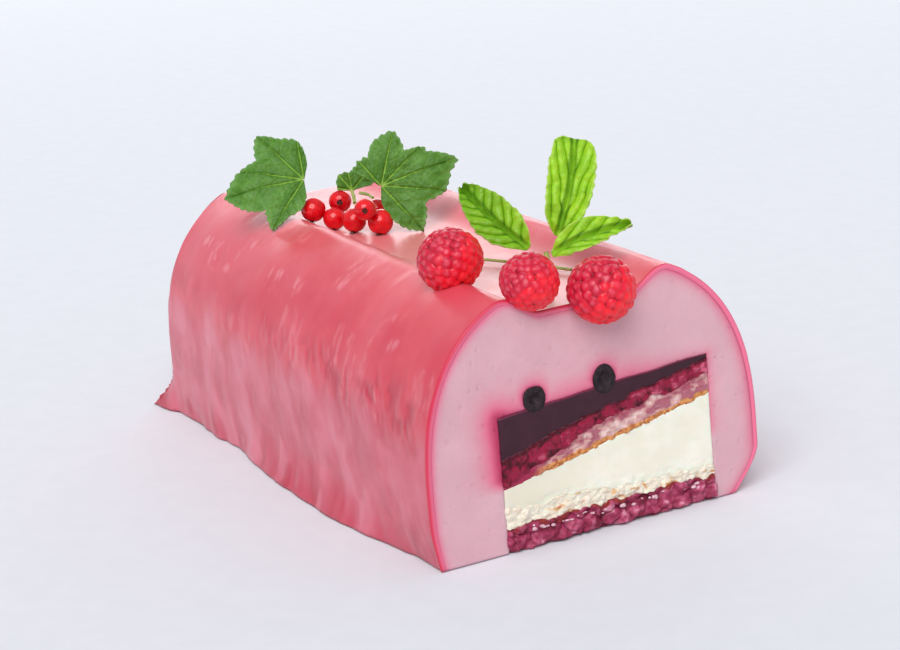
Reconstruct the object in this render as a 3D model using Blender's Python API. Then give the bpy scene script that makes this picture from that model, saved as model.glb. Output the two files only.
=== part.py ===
"""Yule log cake: a glazed raspberry mousse log on an insert of layers, cut at one end.

The log lies along X with its cut face at +X and its moulded end at -X.  +Z is up, and the
origin is the middle of the flat underside.  Lengths below are in millimetres.
"""

import math

import bmesh
import bpy
from mathutils import Matrix, Vector

MM = 0.001

# The log
CUT_X = 102.0
END_X = -88.0
HALF_WIDTH = 50.0
ARCH_TOP = 72.0
ARCH_SPRING = 18.0
ARCH_POWER = 2.5
TROUGH_FLOOR = 62.7
TROUGH_FLOOR_HALF = 13.5
TROUGH_HALF = 27.0
END_ROUNDING = 7.0
END_LEAN = 0.06
SECTION_STEPS = 36

# The foot of the glaze, where it ran down and set
FOOT_HEIGHT = 12.0
FOOT_ROWS = 4
LEFT_FOOT_TUCK = 1.5
RIGHT_FOOT_TUCK = 8.0
SIDE_FOOT_BULGE = 4.6
END_FOOT_BULGE = 7.0
CORNER_FOOT_BULGE = 8.5
END_FOOT_HEIGHT = 18.0

GLAZE_THICKNESS = 1.6
GAP = 0.36

# The insert: a stack of layers, each bounded by heights at its left and right edges
INSERT_LEFT = -28.3
INSERT_RIGHT = 35.6
INSERT_END_X = END_X + 12.0
CRUMBLE_TOP = (7.2, 7.0)
CRISP_TOP = (12.6, 9.6)
CREAM_TOP = (17.4, 30.0)
SPONGE_TOP = (19.2, 35.4)
SPONGE_ARCH = 2.0
COMPOTE_TOP = (25.0, 39.2)
JELLY_TOP = (36.9, 40.9)
LAYER_STEPS = 14

# Halved dark berries in the cut face
BILBERRY_RADIUS = 3.2
BILBERRY_HOLLOW = 1.4
BILBERRIES = {"bilberry_left": (-17.3, 39.9), "bilberry_right": (3.7, 40.9)}

# Whole berries: centre and radius
RASPBERRIES = {
    "raspberry_back": ((73.5, -23.7, 72.9), 9.0),
    "raspberry_middle": ((102.0, -15.8, 70.8), 7.9),
    "raspberry_front": ((106.0, 2.9, 65.8), 9.2),
}
DRUPELET_HEIGHT = 0.5
CURRANTS = (
    ((-30.0, -17.6, 68.9), 3.2),
    ((-28.6, -9.2, 70.2), 2.95),
    ((-25.4, -13.0, 66.1), 2.95),
    ((-17.2, -10.2, 66.3), 3.1),
    ((-7.0, -10.9, 71.4), 2.75),
    ((-8.6, -5.6, 66.4), 3.25),
    ((-23.0, 0.3, 67.0), 2.6),
)

# Leaves: base point, direction of the main vein, direction the face looks, and the outline
# as (angle from the main vein in degrees, reach in mm)
LEAF_THICKNESS = 0.5
CURRANT_LEAVES = {
    "currant_leaf_left": (
        (-31.7, -18.9, 78.3), (-0.36, -0.93, -0.10), (0.77, -0.36, 0.53),
        ((-115, 4), (-92, 12.4), (-70, 15), (-56, 20.5), (-34, 15.5), (-20, 20), (0, 24.4),
         (17, 19.5), (29, 15), (40, 17), (48, 18.6), (58, 13), (78, 9.2), (88, 5.6))),
    "currant_leaf_right": (
        (-11.2, -3.0, 76.5), (0.30, 0.92, 0.25), (0.82, -0.38, 0.42),
        ((-112, 4.2), (-94, 10.6), (-83, 14.4), (-69, 18.4), (-42, 14), (-26, 19), (-9, 21),
         (0, 24.4), (16, 17.3), (24, 17), (35, 12.4), (57, 17.2), (80, 13.3), (93, 9.5),
         (111, 10), (133, 9.6))),
    "currant_leaf_small": (
        (-26.0, -6.0, 74.6), (-0.50, -0.43, 0.75), (0.85, -0.40, 0.34),
        ((-118, 6.2), (-81, 9.5), (-36, 5.4), (0, 6.2), (47, 4.2))),
}
MINT_LEAVES = {
    "mint_leaf_left": (
        (77.2, -2.2, 72.9), (-0.66, -0.39, 0.65), (0.75, -0.43, 0.50), 25.0, 6.2),
    "mint_leaf_upright": (
        (78.4, 6.2, 74.8), (-0.11, 0.35, 0.93), (0.87, -0.41, 0.26), 26.5, 6.6),
    "mint_leaf_right": (
        (82.4, 2.0, 71.3), (0.28, 0.92, 0.26), (0.66, -0.38, 0.64), 22.6, 4.2),
}
MINT_STEPS = 8
MINT_CURL = 2.2
MINT_FOLD = 1.4

# Stems: the points they pass through and their radius
STEMS = {
    "currant_stalk": (((-27.4, -5.6, 73.6), (-24.0, -6.6, 72.0), (-20.6, -8.0, 70.6)), 0.55),
    "currant_side_stalk": (((-22.8, -5.0, 72.9), (-18.6, -4.4, 73.0), (-14.4, -4.6, 72.6)), 0.45),
    "mint_stem": (((80.0, 1.0, 63.8), (80.3, 1.6, 67.0), (79.2, 2.0, 71.4)), 0.8),
    "twig": (((41.0, -3.0, 63.8), (58.0, 4.0, 64.2), (75.0, 11.5, 63.8)), 0.45),
}
STEM_SIDES = 8

COLOURS = {
    "raspberry_glaze": (0.62, 0.13, 0.17),
    "raspberry_mousse": (0.74, 0.42, 0.49),
    "dark_jelly": (0.07, 0.02, 0.035),
    "raspberry_compote": (0.30, 0.02, 0.06),
    "pink_sponge": (0.63, 0.37, 0.35),
    "vanilla_cream": (0.90, 0.86, 0.74),
    "crisp_crumb": (0.77, 0.62, 0.48),
    "raspberry_crumble": (0.28, 0.04, 0.09),
    "dark_berry": (0.03, 0.02, 0.03),
    "raspberry_fruit": (0.72, 0.03, 0.06),
    "redcurrant_fruit": (0.70, 0.01, 0.02),
    "currant_leaf": (0.10, 0.22, 0.03),
    "mint_leaf": (0.22, 0.45, 0.02),
    "green_stem": (0.35, 0.42, 0.12),
}


def clear_scene():
    for obj in list(bpy.data.objects):
        bpy.data.objects.remove(obj, do_unlink=True)


def make_material(slot):
    material = bpy.data.materials.new(slot)
    material.use_nodes = True
    shader = material.node_tree.nodes["Principled BSDF"]
    shader.inputs["Base Color"].default_value = (*COLOURS[slot], 1.0)
    shader.inputs["Roughness"].default_value = 0.4
    return material


def add_solid(name, points, faces, slot=None, smooth=False):
    """Make a closed mesh object from points in millimetres, with its faces turned outwards."""
    mesh = bpy.data.meshes.new(name)
    mesh.from_pydata([Vector(p) * MM for p in points], [], faces)
    shell = bmesh.new()
    shell.from_mesh(mesh)
    bmesh.ops.recalc_face_normals(shell, faces=shell.faces)
    shell.to_mesh(mesh)
    shell.free()
    for face in mesh.polygons:
        face.use_smooth = smooth
    if slot:
        mesh.materials.append(materials[slot])
    obj = bpy.data.objects.new(name, mesh)
    bpy.context.scene.collection.objects.link(obj)
    return obj


def hollow_out(obj, cutter):
    """Take the cutter's shape out of the object."""
    cutter.hide_render = True
    cutter.display_type = "WIRE"
    cut = obj.modifiers.new(cutter.name, "BOOLEAN")
    cut.operation = "DIFFERENCE"
    cut.solver = "EXACT"
    cut.object = cutter


# The log's skin ------------------------------------------------------------------------

def smoothstep(value):
    value = min(max(value, 0.0), 1.0)
    return value * value * (3.0 - 2.0 * value)


def arch_section():
    """The log's outline across its width, from one foot over the crown to the other."""
    foot = [(-HALF_WIDTH, ARCH_SPRING * row / FOOT_ROWS) for row in range(FOOT_ROWS)]
    outline = list(foot)
    for step in range(SECTION_STEPS + 1):
        turn = math.pi * step / SECTION_STEPS
        across = abs(math.cos(turn)) ** (2.0 / ARCH_POWER)
        y = -HALF_WIDTH * math.copysign(across, math.cos(turn))
        rise = (ARCH_TOP - ARCH_SPRING) * math.sin(turn) ** (2.0 / ARCH_POWER)
        z = ARCH_SPRING + rise
        wall = (abs(y) - TROUGH_FLOOR_HALF) / (TROUGH_HALF - TROUGH_FLOOR_HALF)
        z = TROUGH_FLOOR + (z - TROUGH_FLOOR) * smoothstep(wall) if abs(y) < TROUGH_HALF else z
        outline.append((y, z))
    return outline + [(-y, z) for y, z in reversed(foot)]


def side_foot(x, side):
    """How far the foot stands out along one side: tucked in at the cut, bulging behind it."""
    along = (CUT_X - x) / (CUT_X - END_X)
    swell = math.sin(math.pi * min(max(along, 0.0), 1.0) ** 0.8)
    tuck = LEFT_FOOT_TUCK if side < 0.0 else RIGHT_FOOT_TUCK
    return SIDE_FOOT_BULGE * swell - tuck * (1.0 - smoothstep(along / 0.2))


def end_foot(y, z):
    """How far the foot stands out behind the end wall: furthest at its left corner."""
    share = 0.35 + 0.65 * smoothstep(0.5 - y / HALF_WIDTH)
    return END_FOOT_BULGE * share * max(0.0, 1.0 - z / END_FOOT_HEIGHT) ** 1.3


def corner_foot(turn, z):
    """How far the foot flares out at the end's upright corners, as turn goes from 0 to 1."""
    weight = 2.0 * turn * math.sqrt(max(0.0, 1.0 - turn * turn))
    return CORNER_FOOT_BULGE * weight * max(0.0, 1.0 - z / FOOT_HEIGHT) ** 1.5


def skin_ring(x, shrink, turn, inset, spread):
    """One arch of the skin.

    shrink narrows the arch towards the middle of the floor, turn is 0 on the sides and 1 on
    the end wall, inset moves it into the cake, and spread says how much of the foot it has.
    """
    ring = []
    for y, z in arch_section():
        scale_y = 1.0 - (inset + shrink) / HALF_WIDTH
        scale_z = 1.0 - (inset + shrink) / ARCH_TOP
        side = math.copysign(1.0, y)
        foot = side_foot(x, side)
        out = min(foot, 0.0) + max(foot, 0.0) * spread
        out *= max(0.0, 1.0 - z / FOOT_HEIGHT) ** 1.5
        new_y = y * scale_y + side * out * math.cos(turn * math.pi / 2.0)
        new_x = x + turn * (END_LEAN * z * scale_z - end_foot(y * scale_y, z) * spread)
        flare = corner_foot(turn, z) * spread
        ring.append((new_x - 0.75 * flare, new_y + 0.65 * side * flare, z * scale_z))
    return ring


def skin_rings(inset, spread):
    """The arches of a skin, from the cut along the log, round the corner and down the end."""
    end = END_X + inset
    corner = end + END_ROUNDING
    rings = []
    for step in range(9):
        x = CUT_X + (corner - CUT_X) * step / 8.0
        rings.append(skin_ring(x, 0.0, 0.0, inset, spread))
    for step in range(1, 4):
        angle = math.pi / 2.0 * step / 3.0
        x = corner - END_ROUNDING * math.sin(angle)
        shrink = END_ROUNDING * (1.0 - math.cos(angle))
        rings.append(skin_ring(x, shrink, math.sin(angle), inset, spread))
    for shrink in (22.0, 34.0):
        rings.append(skin_ring(end, shrink, 1.0, inset, spread))
    return rings


def skin_faces(rings, first):
    count = len(rings[0])
    faces = []
    for i in range(len(rings) - 1):
        for j in range(count - 1):
            a = first + i * count + j
            faces.append((a, a + 1, a + count + 1, a + count))
    last = first + (len(rings) - 1) * count
    faces.append(tuple(range(last, last + count)))
    return faces


def add_glaze():
    """The glaze: a shell over the arch and the end, open at the cut and underneath."""
    outer = skin_rings(0.0, 1.0)
    inner = skin_rings(GLAZE_THICKNESS, 0.0)
    count = len(outer[0])
    shift = len(outer) * count
    faces = skin_faces(outer, 0) + skin_faces(inner, shift)
    for j in range(count - 1):
        faces.append((j, j + 1, shift + j + 1, shift + j))
    for i in range(len(outer) - 1):
        for foot in (0, count - 1):
            a = i * count + foot
            faces.append((a, a + count, shift + a + count, shift + a))
    left = (len(outer) - 1) * count
    right = left + count - 1
    faces.append((left, right, shift + right, shift + left))
    points = [point for ring in outer + inner for point in ring]
    return add_solid("glaze", points, faces, "raspberry_glaze", smooth=True)


def add_mousse():
    """The mousse: fills the glaze down to the floor; the insert's channel is cut from it."""
    rings = skin_rings(GLAZE_THICKNESS + GAP, 0.0)
    count = len(rings[0])
    faces = skin_faces(rings, 0)
    faces.append(tuple(range(count)))
    left_feet = [i * count for i in range(len(rings))]
    right_feet = [i * count + count - 1 for i in range(len(rings))]
    faces.append(tuple(left_feet + right_feet[::-1]))
    points = [point for ring in rings for point in ring]
    return add_solid("mousse", points, faces, "raspberry_mousse", smooth=False)


# The insert ----------------------------------------------------------------------------

def layer_edge(heights, arch=0.0, waves=0.0):
    """The height of a layer's boundary at each step across the insert."""
    left, right = heights
    edge = []
    for step in range(LAYER_STEPS + 1):
        along = step / LAYER_STEPS
        y = INSERT_LEFT + (INSERT_RIGHT - INSERT_LEFT) * along
        z = left + (right - left) * along + arch * math.sin(math.pi * along)
        z += waves * math.sin(2.7 * step) * math.sin(math.pi * along)
        edge.append((y, z))
    return edge


def add_layer(name, bottom, top, slot):
    """A layer that runs the length of the insert between two boundaries."""
    outline = [(y, z + GAP / 2.0 if z > 0.0 else 0.0) for y, z in bottom]
    outline += [(y, z - GAP / 2.0) for y, z in reversed(top)]
    count = len(outline)
    points = [(x, y, z) for x in (CUT_X, INSERT_END_X) for y, z in outline]
    faces = [tuple(range(count)), tuple(range(count, 2 * count))]
    for j in range(count):
        k = (j + 1) % count
        faces.append((j, k, count + k, count + j))
    return add_solid(name, points, faces, slot)


def add_insert():
    floor = layer_edge((0.0, 0.0))
    crumble = layer_edge(CRUMBLE_TOP, waves=0.5)
    crisp = layer_edge(CRISP_TOP, waves=0.4)
    cream = layer_edge(CREAM_TOP, waves=0.2)
    sponge = layer_edge(SPONGE_TOP, arch=SPONGE_ARCH, waves=0.5)
    compote = layer_edge(COMPOTE_TOP, arch=SPONGE_ARCH / 2.0)
    jelly = layer_edge(JELLY_TOP)
    add_layer("crumble_base", floor, crumble, "raspberry_crumble")
    add_layer("crisp", crumble, crisp, "crisp_crumb")
    add_layer("cream", crisp, cream, "vanilla_cream")
    add_layer("sponge", cream, sponge, "pink_sponge")
    add_layer("compote", sponge, compote, "raspberry_compote")
    return add_layer("jelly", compote, jelly, "dark_jelly")


def add_channel():
    """The space the insert takes up in the mousse."""
    roof = layer_edge(JELLY_TOP)
    left = INSERT_LEFT - GAP
    right = INSERT_RIGHT + GAP
    outline = [(left, -5.0), (right, -5.0), (right, roof[-1][1] + GAP), (left, roof[0][1] + GAP)]
    points = [(x, y, z) for x in (CUT_X + 5.0, INSERT_END_X - GAP) for y, z in outline]
    faces = [(0, 1, 2, 3), (4, 5, 6, 7)]
    faces += [(j, (j + 1) % 4, 4 + (j + 1) % 4, 4 + j) for j in range(4)]
    return add_solid("cut_channel", points, faces)


# Berries -------------------------------------------------------------------------------

def add_ball(name, centre, radius, slot=None, columns=12, rows=8, bumps=0.0):
    """A round berry; bumps raises every other point of its surface into drupelets."""
    points = [(0.0, 0.0, radius)]
    for row in range(1, rows):
        fall = math.pi * row / rows
        for column in range(columns):
            turn = 2.0 * math.pi * column / columns
            reach = radius - bumps * ((row + column) % 2)
            points.append((reach * math.sin(fall) * math.cos(turn),
                           reach * math.sin(fall) * math.sin(turn), reach * math.cos(fall)))
    points.append((0.0, 0.0, -radius))
    foot = len(points) - 1
    faces = []
    for column in range(columns):
        after = (column + 1) % columns
        faces.append((0, 1 + column, 1 + after))
        for row in range(rows - 2):
            a = 1 + row * columns
            faces.append((a + column, a + columns + column, a + columns + after, a + after))
        faces.append((foot, foot - columns + after, foot - columns + column))
    middle = Vector(centre)
    return add_solid(name, [middle + Vector(p) for p in points], faces, slot, smooth=True)


def add_bilberry(name, y, z):
    """A berry halved by the cut, with a hollow in its middle: turned about the X axis."""
    sides = 16
    profile = [(-BILBERRY_RADIUS * math.sin(math.radians(a)),
                BILBERRY_RADIUS * math.cos(math.radians(a))) for a in (0, 22, 45, 67)]
    hollow = [(-BILBERRY_HOLLOW * math.sin(math.radians(a)),
               BILBERRY_HOLLOW * math.cos(math.radians(a))) for a in (0, 30, 60)]
    rounds = profile[::-1] + hollow
    points = [(CUT_X - BILBERRY_RADIUS, y, z)]
    for depth, reach in rounds:
        for side in range(sides):
            turn = 2.0 * math.pi * side / sides
            points.append((CUT_X + depth, y + reach * math.cos(turn), z + reach * math.sin(turn)))
    points.append((CUT_X - BILBERRY_HOLLOW, y, z))
    last = len(points) - 1
    faces = []
    for side in range(sides):
        after = (side + 1) % sides
        faces.append((0, 1 + side, 1 + after))
        for ring in range(len(rounds) - 1):
            a = 1 + ring * sides
            faces.append((a + side, a + sides + side, a + sides + after, a + after))
        faces.append((last, last - sides + after, last - sides + side))
    return add_solid(name, points, faces, "dark_berry", smooth=True)


# Leaves and stems ----------------------------------------------------------------------

def leaf_frame(base, along, facing):
    """A frame at a leaf's base: X along the main vein, Z out of its face."""
    x_axis = Vector(along).normalized()
    z_axis = Vector(facing)
    z_axis = (z_axis - x_axis * z_axis.dot(x_axis)).normalized()
    y_axis = z_axis.cross(x_axis)
    turn = Matrix((x_axis, y_axis, z_axis)).transposed()
    return Matrix.Translation(Vector(base)) @ turn.to_4x4()


def thick_sheet(name, frame, rows, slot):
    """A thin solid over a grid of points in a leaf's own frame; rows may taper to a point."""
    half = Vector((0.0, 0.0, LEAF_THICKNESS / 2.0))
    width = len(rows[0])
    flat = [Vector(p) for row in rows for p in row]
    points = [frame @ (p + half) for p in flat] + [frame @ (p - half) for p in flat]
    shift = len(flat)
    faces = []
    for i in range(len(rows) - 1):
        for j in range(width - 1):
            a = i * width + j
            quad = (a, a + 1, a + width + 1, a + width)
            faces.append(quad)
            faces.append(tuple(shift + k for k in reversed(quad)))
    last = (len(rows) - 1) * width
    border = list(range(width)) + [i * width + width - 1 for i in range(1, len(rows))]
    border += list(range(last + width - 2, last - 1, -1))
    border += [i * width for i in range(len(rows) - 2, 0, -1)]
    for k, a in enumerate(border):
        b = border[(k + 1) % len(border)]
        faces.append((a, b, shift + b, shift + a))
    return add_solid(name, points, faces, slot, smooth=False)


def add_currant_leaf(name, base, along, facing, lobes):
    """A lobed leaf: an inner and an outer row of points fan out from where the stalk joins."""
    rows = []
    for share, lift in ((0.06, 0.0), (0.5, 0.5), (1.0, -0.6)):
        row = []
        for angle, reach in lobes:
            turn = math.radians(angle)
            row.append((share * reach * math.cos(turn), share * reach * math.sin(turn), lift))
        rows.append(row)
    return thick_sheet(name, leaf_frame(base, along, facing), rows, "currant_leaf")


def add_mint_leaf(name, base, along, facing, length, half_width):
    """An oval leaf with its sides folded up a little and its tip curling back."""
    rows = []
    for step in range(MINT_STEPS + 1):
        share = step / MINT_STEPS
        reach = half_width * math.sin(math.pi * (0.06 + 0.82 * share ** 0.8)) ** 0.8
        curl = -MINT_CURL * share ** 3
        rows.append([(length * share, reach * side, curl + MINT_FOLD * abs(side))
                     for side in (-1.0, -0.5, 0.0, 0.5, 1.0)])
    return thick_sheet(name, leaf_frame(base, along, facing), rows, "mint_leaf")


def add_stem(name, path, radius):
    """A round stem swept along a short path."""
    knots = [Vector(p) for p in path]
    points = []
    for k, knot in enumerate(knots):
        ahead = knots[min(k + 1, len(knots) - 1)] - knots[max(k - 1, 0)]
        ahead.normalize()
        side = ahead.cross(Vector((0.0, 0.3, 1.0))).normalized()
        up = side.cross(ahead)
        for corner in range(STEM_SIDES):
            turn = 2.0 * math.pi * corner / STEM_SIDES
            points.append(knot + radius * (math.cos(turn) * side + math.sin(turn) * up))
    faces = [tuple(range(STEM_SIDES)), tuple(range(len(points) - STEM_SIDES, len(points)))]
    for k in range(len(knots) - 1):
        for corner in range(STEM_SIDES):
            after = (corner + 1) % STEM_SIDES
            a = k * STEM_SIDES
            faces.append((a + corner, a + after, a + STEM_SIDES + after, a + STEM_SIDES + corner))
    return add_solid(name, points, faces, "green_stem", smooth=True)


clear_scene()
materials = {slot: make_material(slot) for slot in COLOURS}

glaze = add_glaze()
mousse = add_mousse()
jelly = add_insert()
hollow_out(mousse, add_channel())

for berry, (berry_y, berry_z) in BILBERRIES.items():
    add_bilberry(berry, berry_y, berry_z)
    nest = add_ball("nest_" + berry, (CUT_X, berry_y, berry_z), BILBERRY_RADIUS + GAP)
    hollow_out(mousse, nest)
    hollow_out(jelly, nest)

for berry, (middle, size) in RASPBERRIES.items():
    add_ball(berry, middle, size, "raspberry_fruit", 20, 12, DRUPELET_HEIGHT)
    nest = add_ball("nest_" + berry, middle, size + GAP + 0.2, columns=16, rows=10)
    hollow_out(glaze, nest)
    hollow_out(mousse, nest)

for number, (middle, size) in enumerate(CURRANTS, start=1):
    add_ball("currant_%d" % number, middle, size, "redcurrant_fruit")

for leaf, shape in CURRANT_LEAVES.items():
    add_currant_leaf(leaf, *shape)
for leaf, shape in MINT_LEAVES.items():
    add_mint_leaf(leaf, *shape)
for stem, (stem_path, stem_radius) in STEMS.items():
    add_stem(stem, stem_path, stem_radius)
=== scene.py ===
"""Looks of the yule log cake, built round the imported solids.

Lengths here are in millimetres and become metres when a mesh is made.  +X points at the cut
face, +Z up.  Each piece is a fine mesh that takes the place of one solid of the frame.
"""

import math

import bmesh
import bpy
import numpy as np
from mathutils import Matrix, Vector


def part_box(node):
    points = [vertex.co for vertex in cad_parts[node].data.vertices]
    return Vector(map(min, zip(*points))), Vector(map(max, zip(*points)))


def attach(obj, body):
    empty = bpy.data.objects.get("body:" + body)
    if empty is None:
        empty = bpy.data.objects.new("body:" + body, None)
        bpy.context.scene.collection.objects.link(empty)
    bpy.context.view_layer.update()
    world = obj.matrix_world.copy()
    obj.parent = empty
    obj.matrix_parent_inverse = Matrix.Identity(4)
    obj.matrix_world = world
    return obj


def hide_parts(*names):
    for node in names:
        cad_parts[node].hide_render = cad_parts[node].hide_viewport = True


MM = 0.001

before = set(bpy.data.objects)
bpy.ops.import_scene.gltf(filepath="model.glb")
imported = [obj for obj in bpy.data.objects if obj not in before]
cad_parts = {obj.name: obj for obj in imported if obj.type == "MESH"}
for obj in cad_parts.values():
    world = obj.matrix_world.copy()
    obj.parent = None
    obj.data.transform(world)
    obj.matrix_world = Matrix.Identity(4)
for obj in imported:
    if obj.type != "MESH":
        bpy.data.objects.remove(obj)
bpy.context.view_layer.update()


def node_box(name):
    """A solid's lowest and highest corner, in millimetres."""
    low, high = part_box(name)
    return np.array(low) / MM, np.array(high) / MM


def node_ball(name):
    """The centre of a solid's box and half of its longest side, in millimetres."""
    low, high = node_box(name)
    return (low + high) / 2, float((high - low).max() / 2)


# The log's measures, read from the solids or shared with them
MOUSSE_LOW, _ = node_box("mousse")
_, GLAZE_HIGH = node_box("glaze")
CUT_X = GLAZE_HIGH[0]
HALF_WIDTH = 50.0
ARCH_TOP = 72.0
ARCH_SPRING = 18.0
ARCH_POWER = 2.5
TROUGH_FLOOR = 62.7
TROUGH_FLOOR_HALF = 13.5
TROUGH_HALF = 27.0
END_ROUNDING = 7.0
END_LEAN = 0.06
FOOT_HEIGHT = 12.0
LEFT_FOOT_TUCK = 1.5
RIGHT_FOOT_TUCK = 8.0
SIDE_FOOT_BULGE = 4.4
END_FOOT_BULGE = 7.0
CORNER_FOOT_BULGE = 8.5
END_FOOT_HEIGHT = 18.0
GLAZE_THICKNESS = 1.6
GLAZE_GAP = 0.36
END_X = MOUSSE_LOW[0] - GLAZE_THICKNESS - GLAZE_GAP

JELLY_LOW, JELLY_HIGH = node_box("jelly")
INSERT_LEFT = JELLY_LOW[1]
INSERT_RIGHT = JELLY_HIGH[1]
INSERT_END_X = JELLY_LOW[0]

# The fruit is drawn a little larger than its solids
RASPBERRY_SCALE = 1.02
BILBERRY_SCALE = 1.06
CURRANT_SCALE = 1.17

# Where the glaze changes on its way up: heights, and a length measured along the arch
BORDER_HEIGHT = 36.0
CRINKLE_HEIGHT = 39.0
# the climb along the arch where painted glints gather
PAINTED_GLINT_CLIMB = 62.0

LEAF_THICKNESS = 0.35

# The camera, in metres and degrees
CAMERA_PLACE = (0.6531, -0.3039, 0.2329)
CAMERA_AZIMUTH = 64.35
CAMERA_ELEVATION = 15.41
CAMERA_ROLL = -5.48
CAMERA_LENS = 100.64


# Numbers and noise -----------------------------------------------------------------------

def smoothstep(low, high, value):
    """From 0 at low to 1 at high, with soft ends."""
    share = np.clip((value - low) / (high - low), 0.0, 1.0)
    return share * share * (3.0 - 2.0 * share)


def hashed(cells, seed):
    """A number from 0 to 1 for each whole-number cell, the same on every run."""
    mixed = np.full(cells.shape[:-1], np.uint64(seed * 2654435761 + 97531))
    for axis in range(cells.shape[-1]):
        part = cells[..., axis].astype(np.int64).astype(np.uint64)
        mixed = (mixed ^ (part * np.uint64(0x9E3779B97F4A7C15))) * np.uint64(0xBF58476D1CE4E5B9)
        mixed ^= mixed >> np.uint64(29)
    mixed = mixed * np.uint64(0x94D049BB133111EB)
    mixed ^= mixed >> np.uint64(32)
    return (mixed & np.uint64(0xFFFFFF)).astype(np.float64) / float(0xFFFFFF)


def smooth_noise(points, seed):
    """Value noise from -1 to 1 at points measured in cells."""
    base = np.floor(points)
    part = points - base
    part = part * part * part * (part * (part * 6.0 - 15.0) + 10.0)
    dims = points.shape[-1]
    total = np.zeros(points.shape[:-1])
    for corner in range(2 ** dims):
        step = np.array([(corner >> axis) & 1 for axis in range(dims)], dtype=np.float64)
        weight = np.prod(np.where(step > 0, part, 1.0 - part), axis=-1)
        total += weight * hashed(base + step, seed)
    return total * 2.0 - 1.0


def noise(points, size, seed, octaves=1):
    """Layered noise from -1 to 1; size is the feature size in mm, one or one per axis."""
    scaled = np.asarray(points, dtype=np.float64) / np.asarray(size, dtype=np.float64)
    total = np.zeros(scaled.shape[:-1])
    weight, weights = 1.0, 0.0
    for octave in range(octaves):
        total += weight * smooth_noise(scaled * 2.0 ** octave + 17.3 * octave, seed + octave)
        weights += weight
        weight *= 0.5
    return total / weights


def lumps(points, size, seed, jitter=0.8):
    """Rounded lumps on a plane: (distance to the nearest centre, to the next, its own number)."""
    scaled = np.asarray(points, dtype=np.float64) / size
    base = np.floor(scaled)
    nearest = np.full(scaled.shape[:-1], 9.0)
    second = nearest.copy()
    number = np.zeros(scaled.shape[:-1])
    for dx in (-1, 0, 1):
        for dy in (-1, 0, 1):
            cell = base + np.array([dx, dy])
            where = np.stack([hashed(cell, seed), hashed(cell, seed + 1)], -1)
            centre = cell + 0.5 + jitter * (where - 0.5)
            gap = np.linalg.norm(scaled - centre, axis=-1)
            closer = gap < nearest
            second = np.where(closer, nearest, np.minimum(second, gap))
            number = np.where(closer, hashed(cell, seed + 2), number)
            nearest = np.where(closer, gap, nearest)
    return nearest, second, number


# Meshes ----------------------------------------------------------------------------------

def add_piece(name, points, faces, look, replaced, attributes=None):
    """Make a mesh piece from points in mm and hang it on the frame in its solid's place."""
    mesh = bpy.data.meshes.new(name)
    mesh.from_pydata((np.asarray(points) * MM).tolist(), [], faces)
    mesh.polygons.foreach_set("use_smooth", [True] * len(mesh.polygons))
    for key, values in (attributes or {}).items():
        layer = mesh.attributes.new(key, "FLOAT", "POINT")
        layer.data.foreach_set("value", np.asarray(values, dtype=np.float32))
    looks = look if isinstance(look, (list, tuple)) else [look]
    for one in looks:
        mesh.materials.append(one)
    mesh.update()
    piece = bpy.data.objects.new(name, mesh)
    bpy.context.scene.collection.objects.link(piece)
    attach(piece, "root")
    if replaced:
        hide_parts(*replaced)
    return piece


def grid_faces(rows, columns, first=0, wrap=False, flip=False):
    """Quads over a grid of points counted row by row."""
    faces = []
    last = columns if wrap else columns - 1
    for i in range(rows - 1):
        for j in range(last):
            k = (j + 1) % columns
            a = first + i * columns
            quad = (a + j, a + k, a + columns + k, a + columns + j)
            faces.append(quad[::-1] if flip else quad)
    return faces


def grid_border(rows, columns):
    """The indices of a grid's outer points, once round."""
    border = list(range(columns))
    border += [i * columns + columns - 1 for i in range(1, rows)]
    border += [(rows - 1) * columns + j for j in range(columns - 2, -1, -1)]
    border += [i * columns for i in range(rows - 2, 0, -1)]
    return border


def band_faces(loop, other):
    """Quads between two closed loops of points."""
    count = len(loop)
    faces = []
    for k in range(count):
        n = (k + 1) % count
        faces.append((loop[n], loop[k], other[k], other[n]))
    return faces


def strip_faces(first, other, count):
    """Quads between two open rows of points, from the index each row starts at."""
    return [(first + j + 1, first + j, other + j, other + j + 1) for j in range(count - 1)]


def softened(line, rounds):
    """A row of values or points with its bends rounded and its ends kept."""
    line = line.copy()
    for _ in range(rounds):
        line[1:-1] = (line[:-2] + 2.0 * line[1:-1] + line[2:]) / 4.0
    return line


def grid_normals(grid):
    """Unit normals of a grid of points, from its own slopes."""
    along = np.gradient(grid, axis=0)
    across = np.gradient(grid, axis=1)
    normal = np.cross(across, along)
    return normal / np.maximum(np.linalg.norm(normal, axis=-1, keepdims=True), 1e-9)


# Materials -------------------------------------------------------------------------------

def linear(red, green, blue):
    """A colour as seen on screen, 0 to 255, as the shader's linear colour."""
    out = []
    for channel in (red, green, blue):
        c = channel / 255.0
        out.append(c / 12.92 if c <= 0.04045 else ((c + 0.055) / 1.055) ** 2.4)
    return (*out, 1.0)


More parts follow.
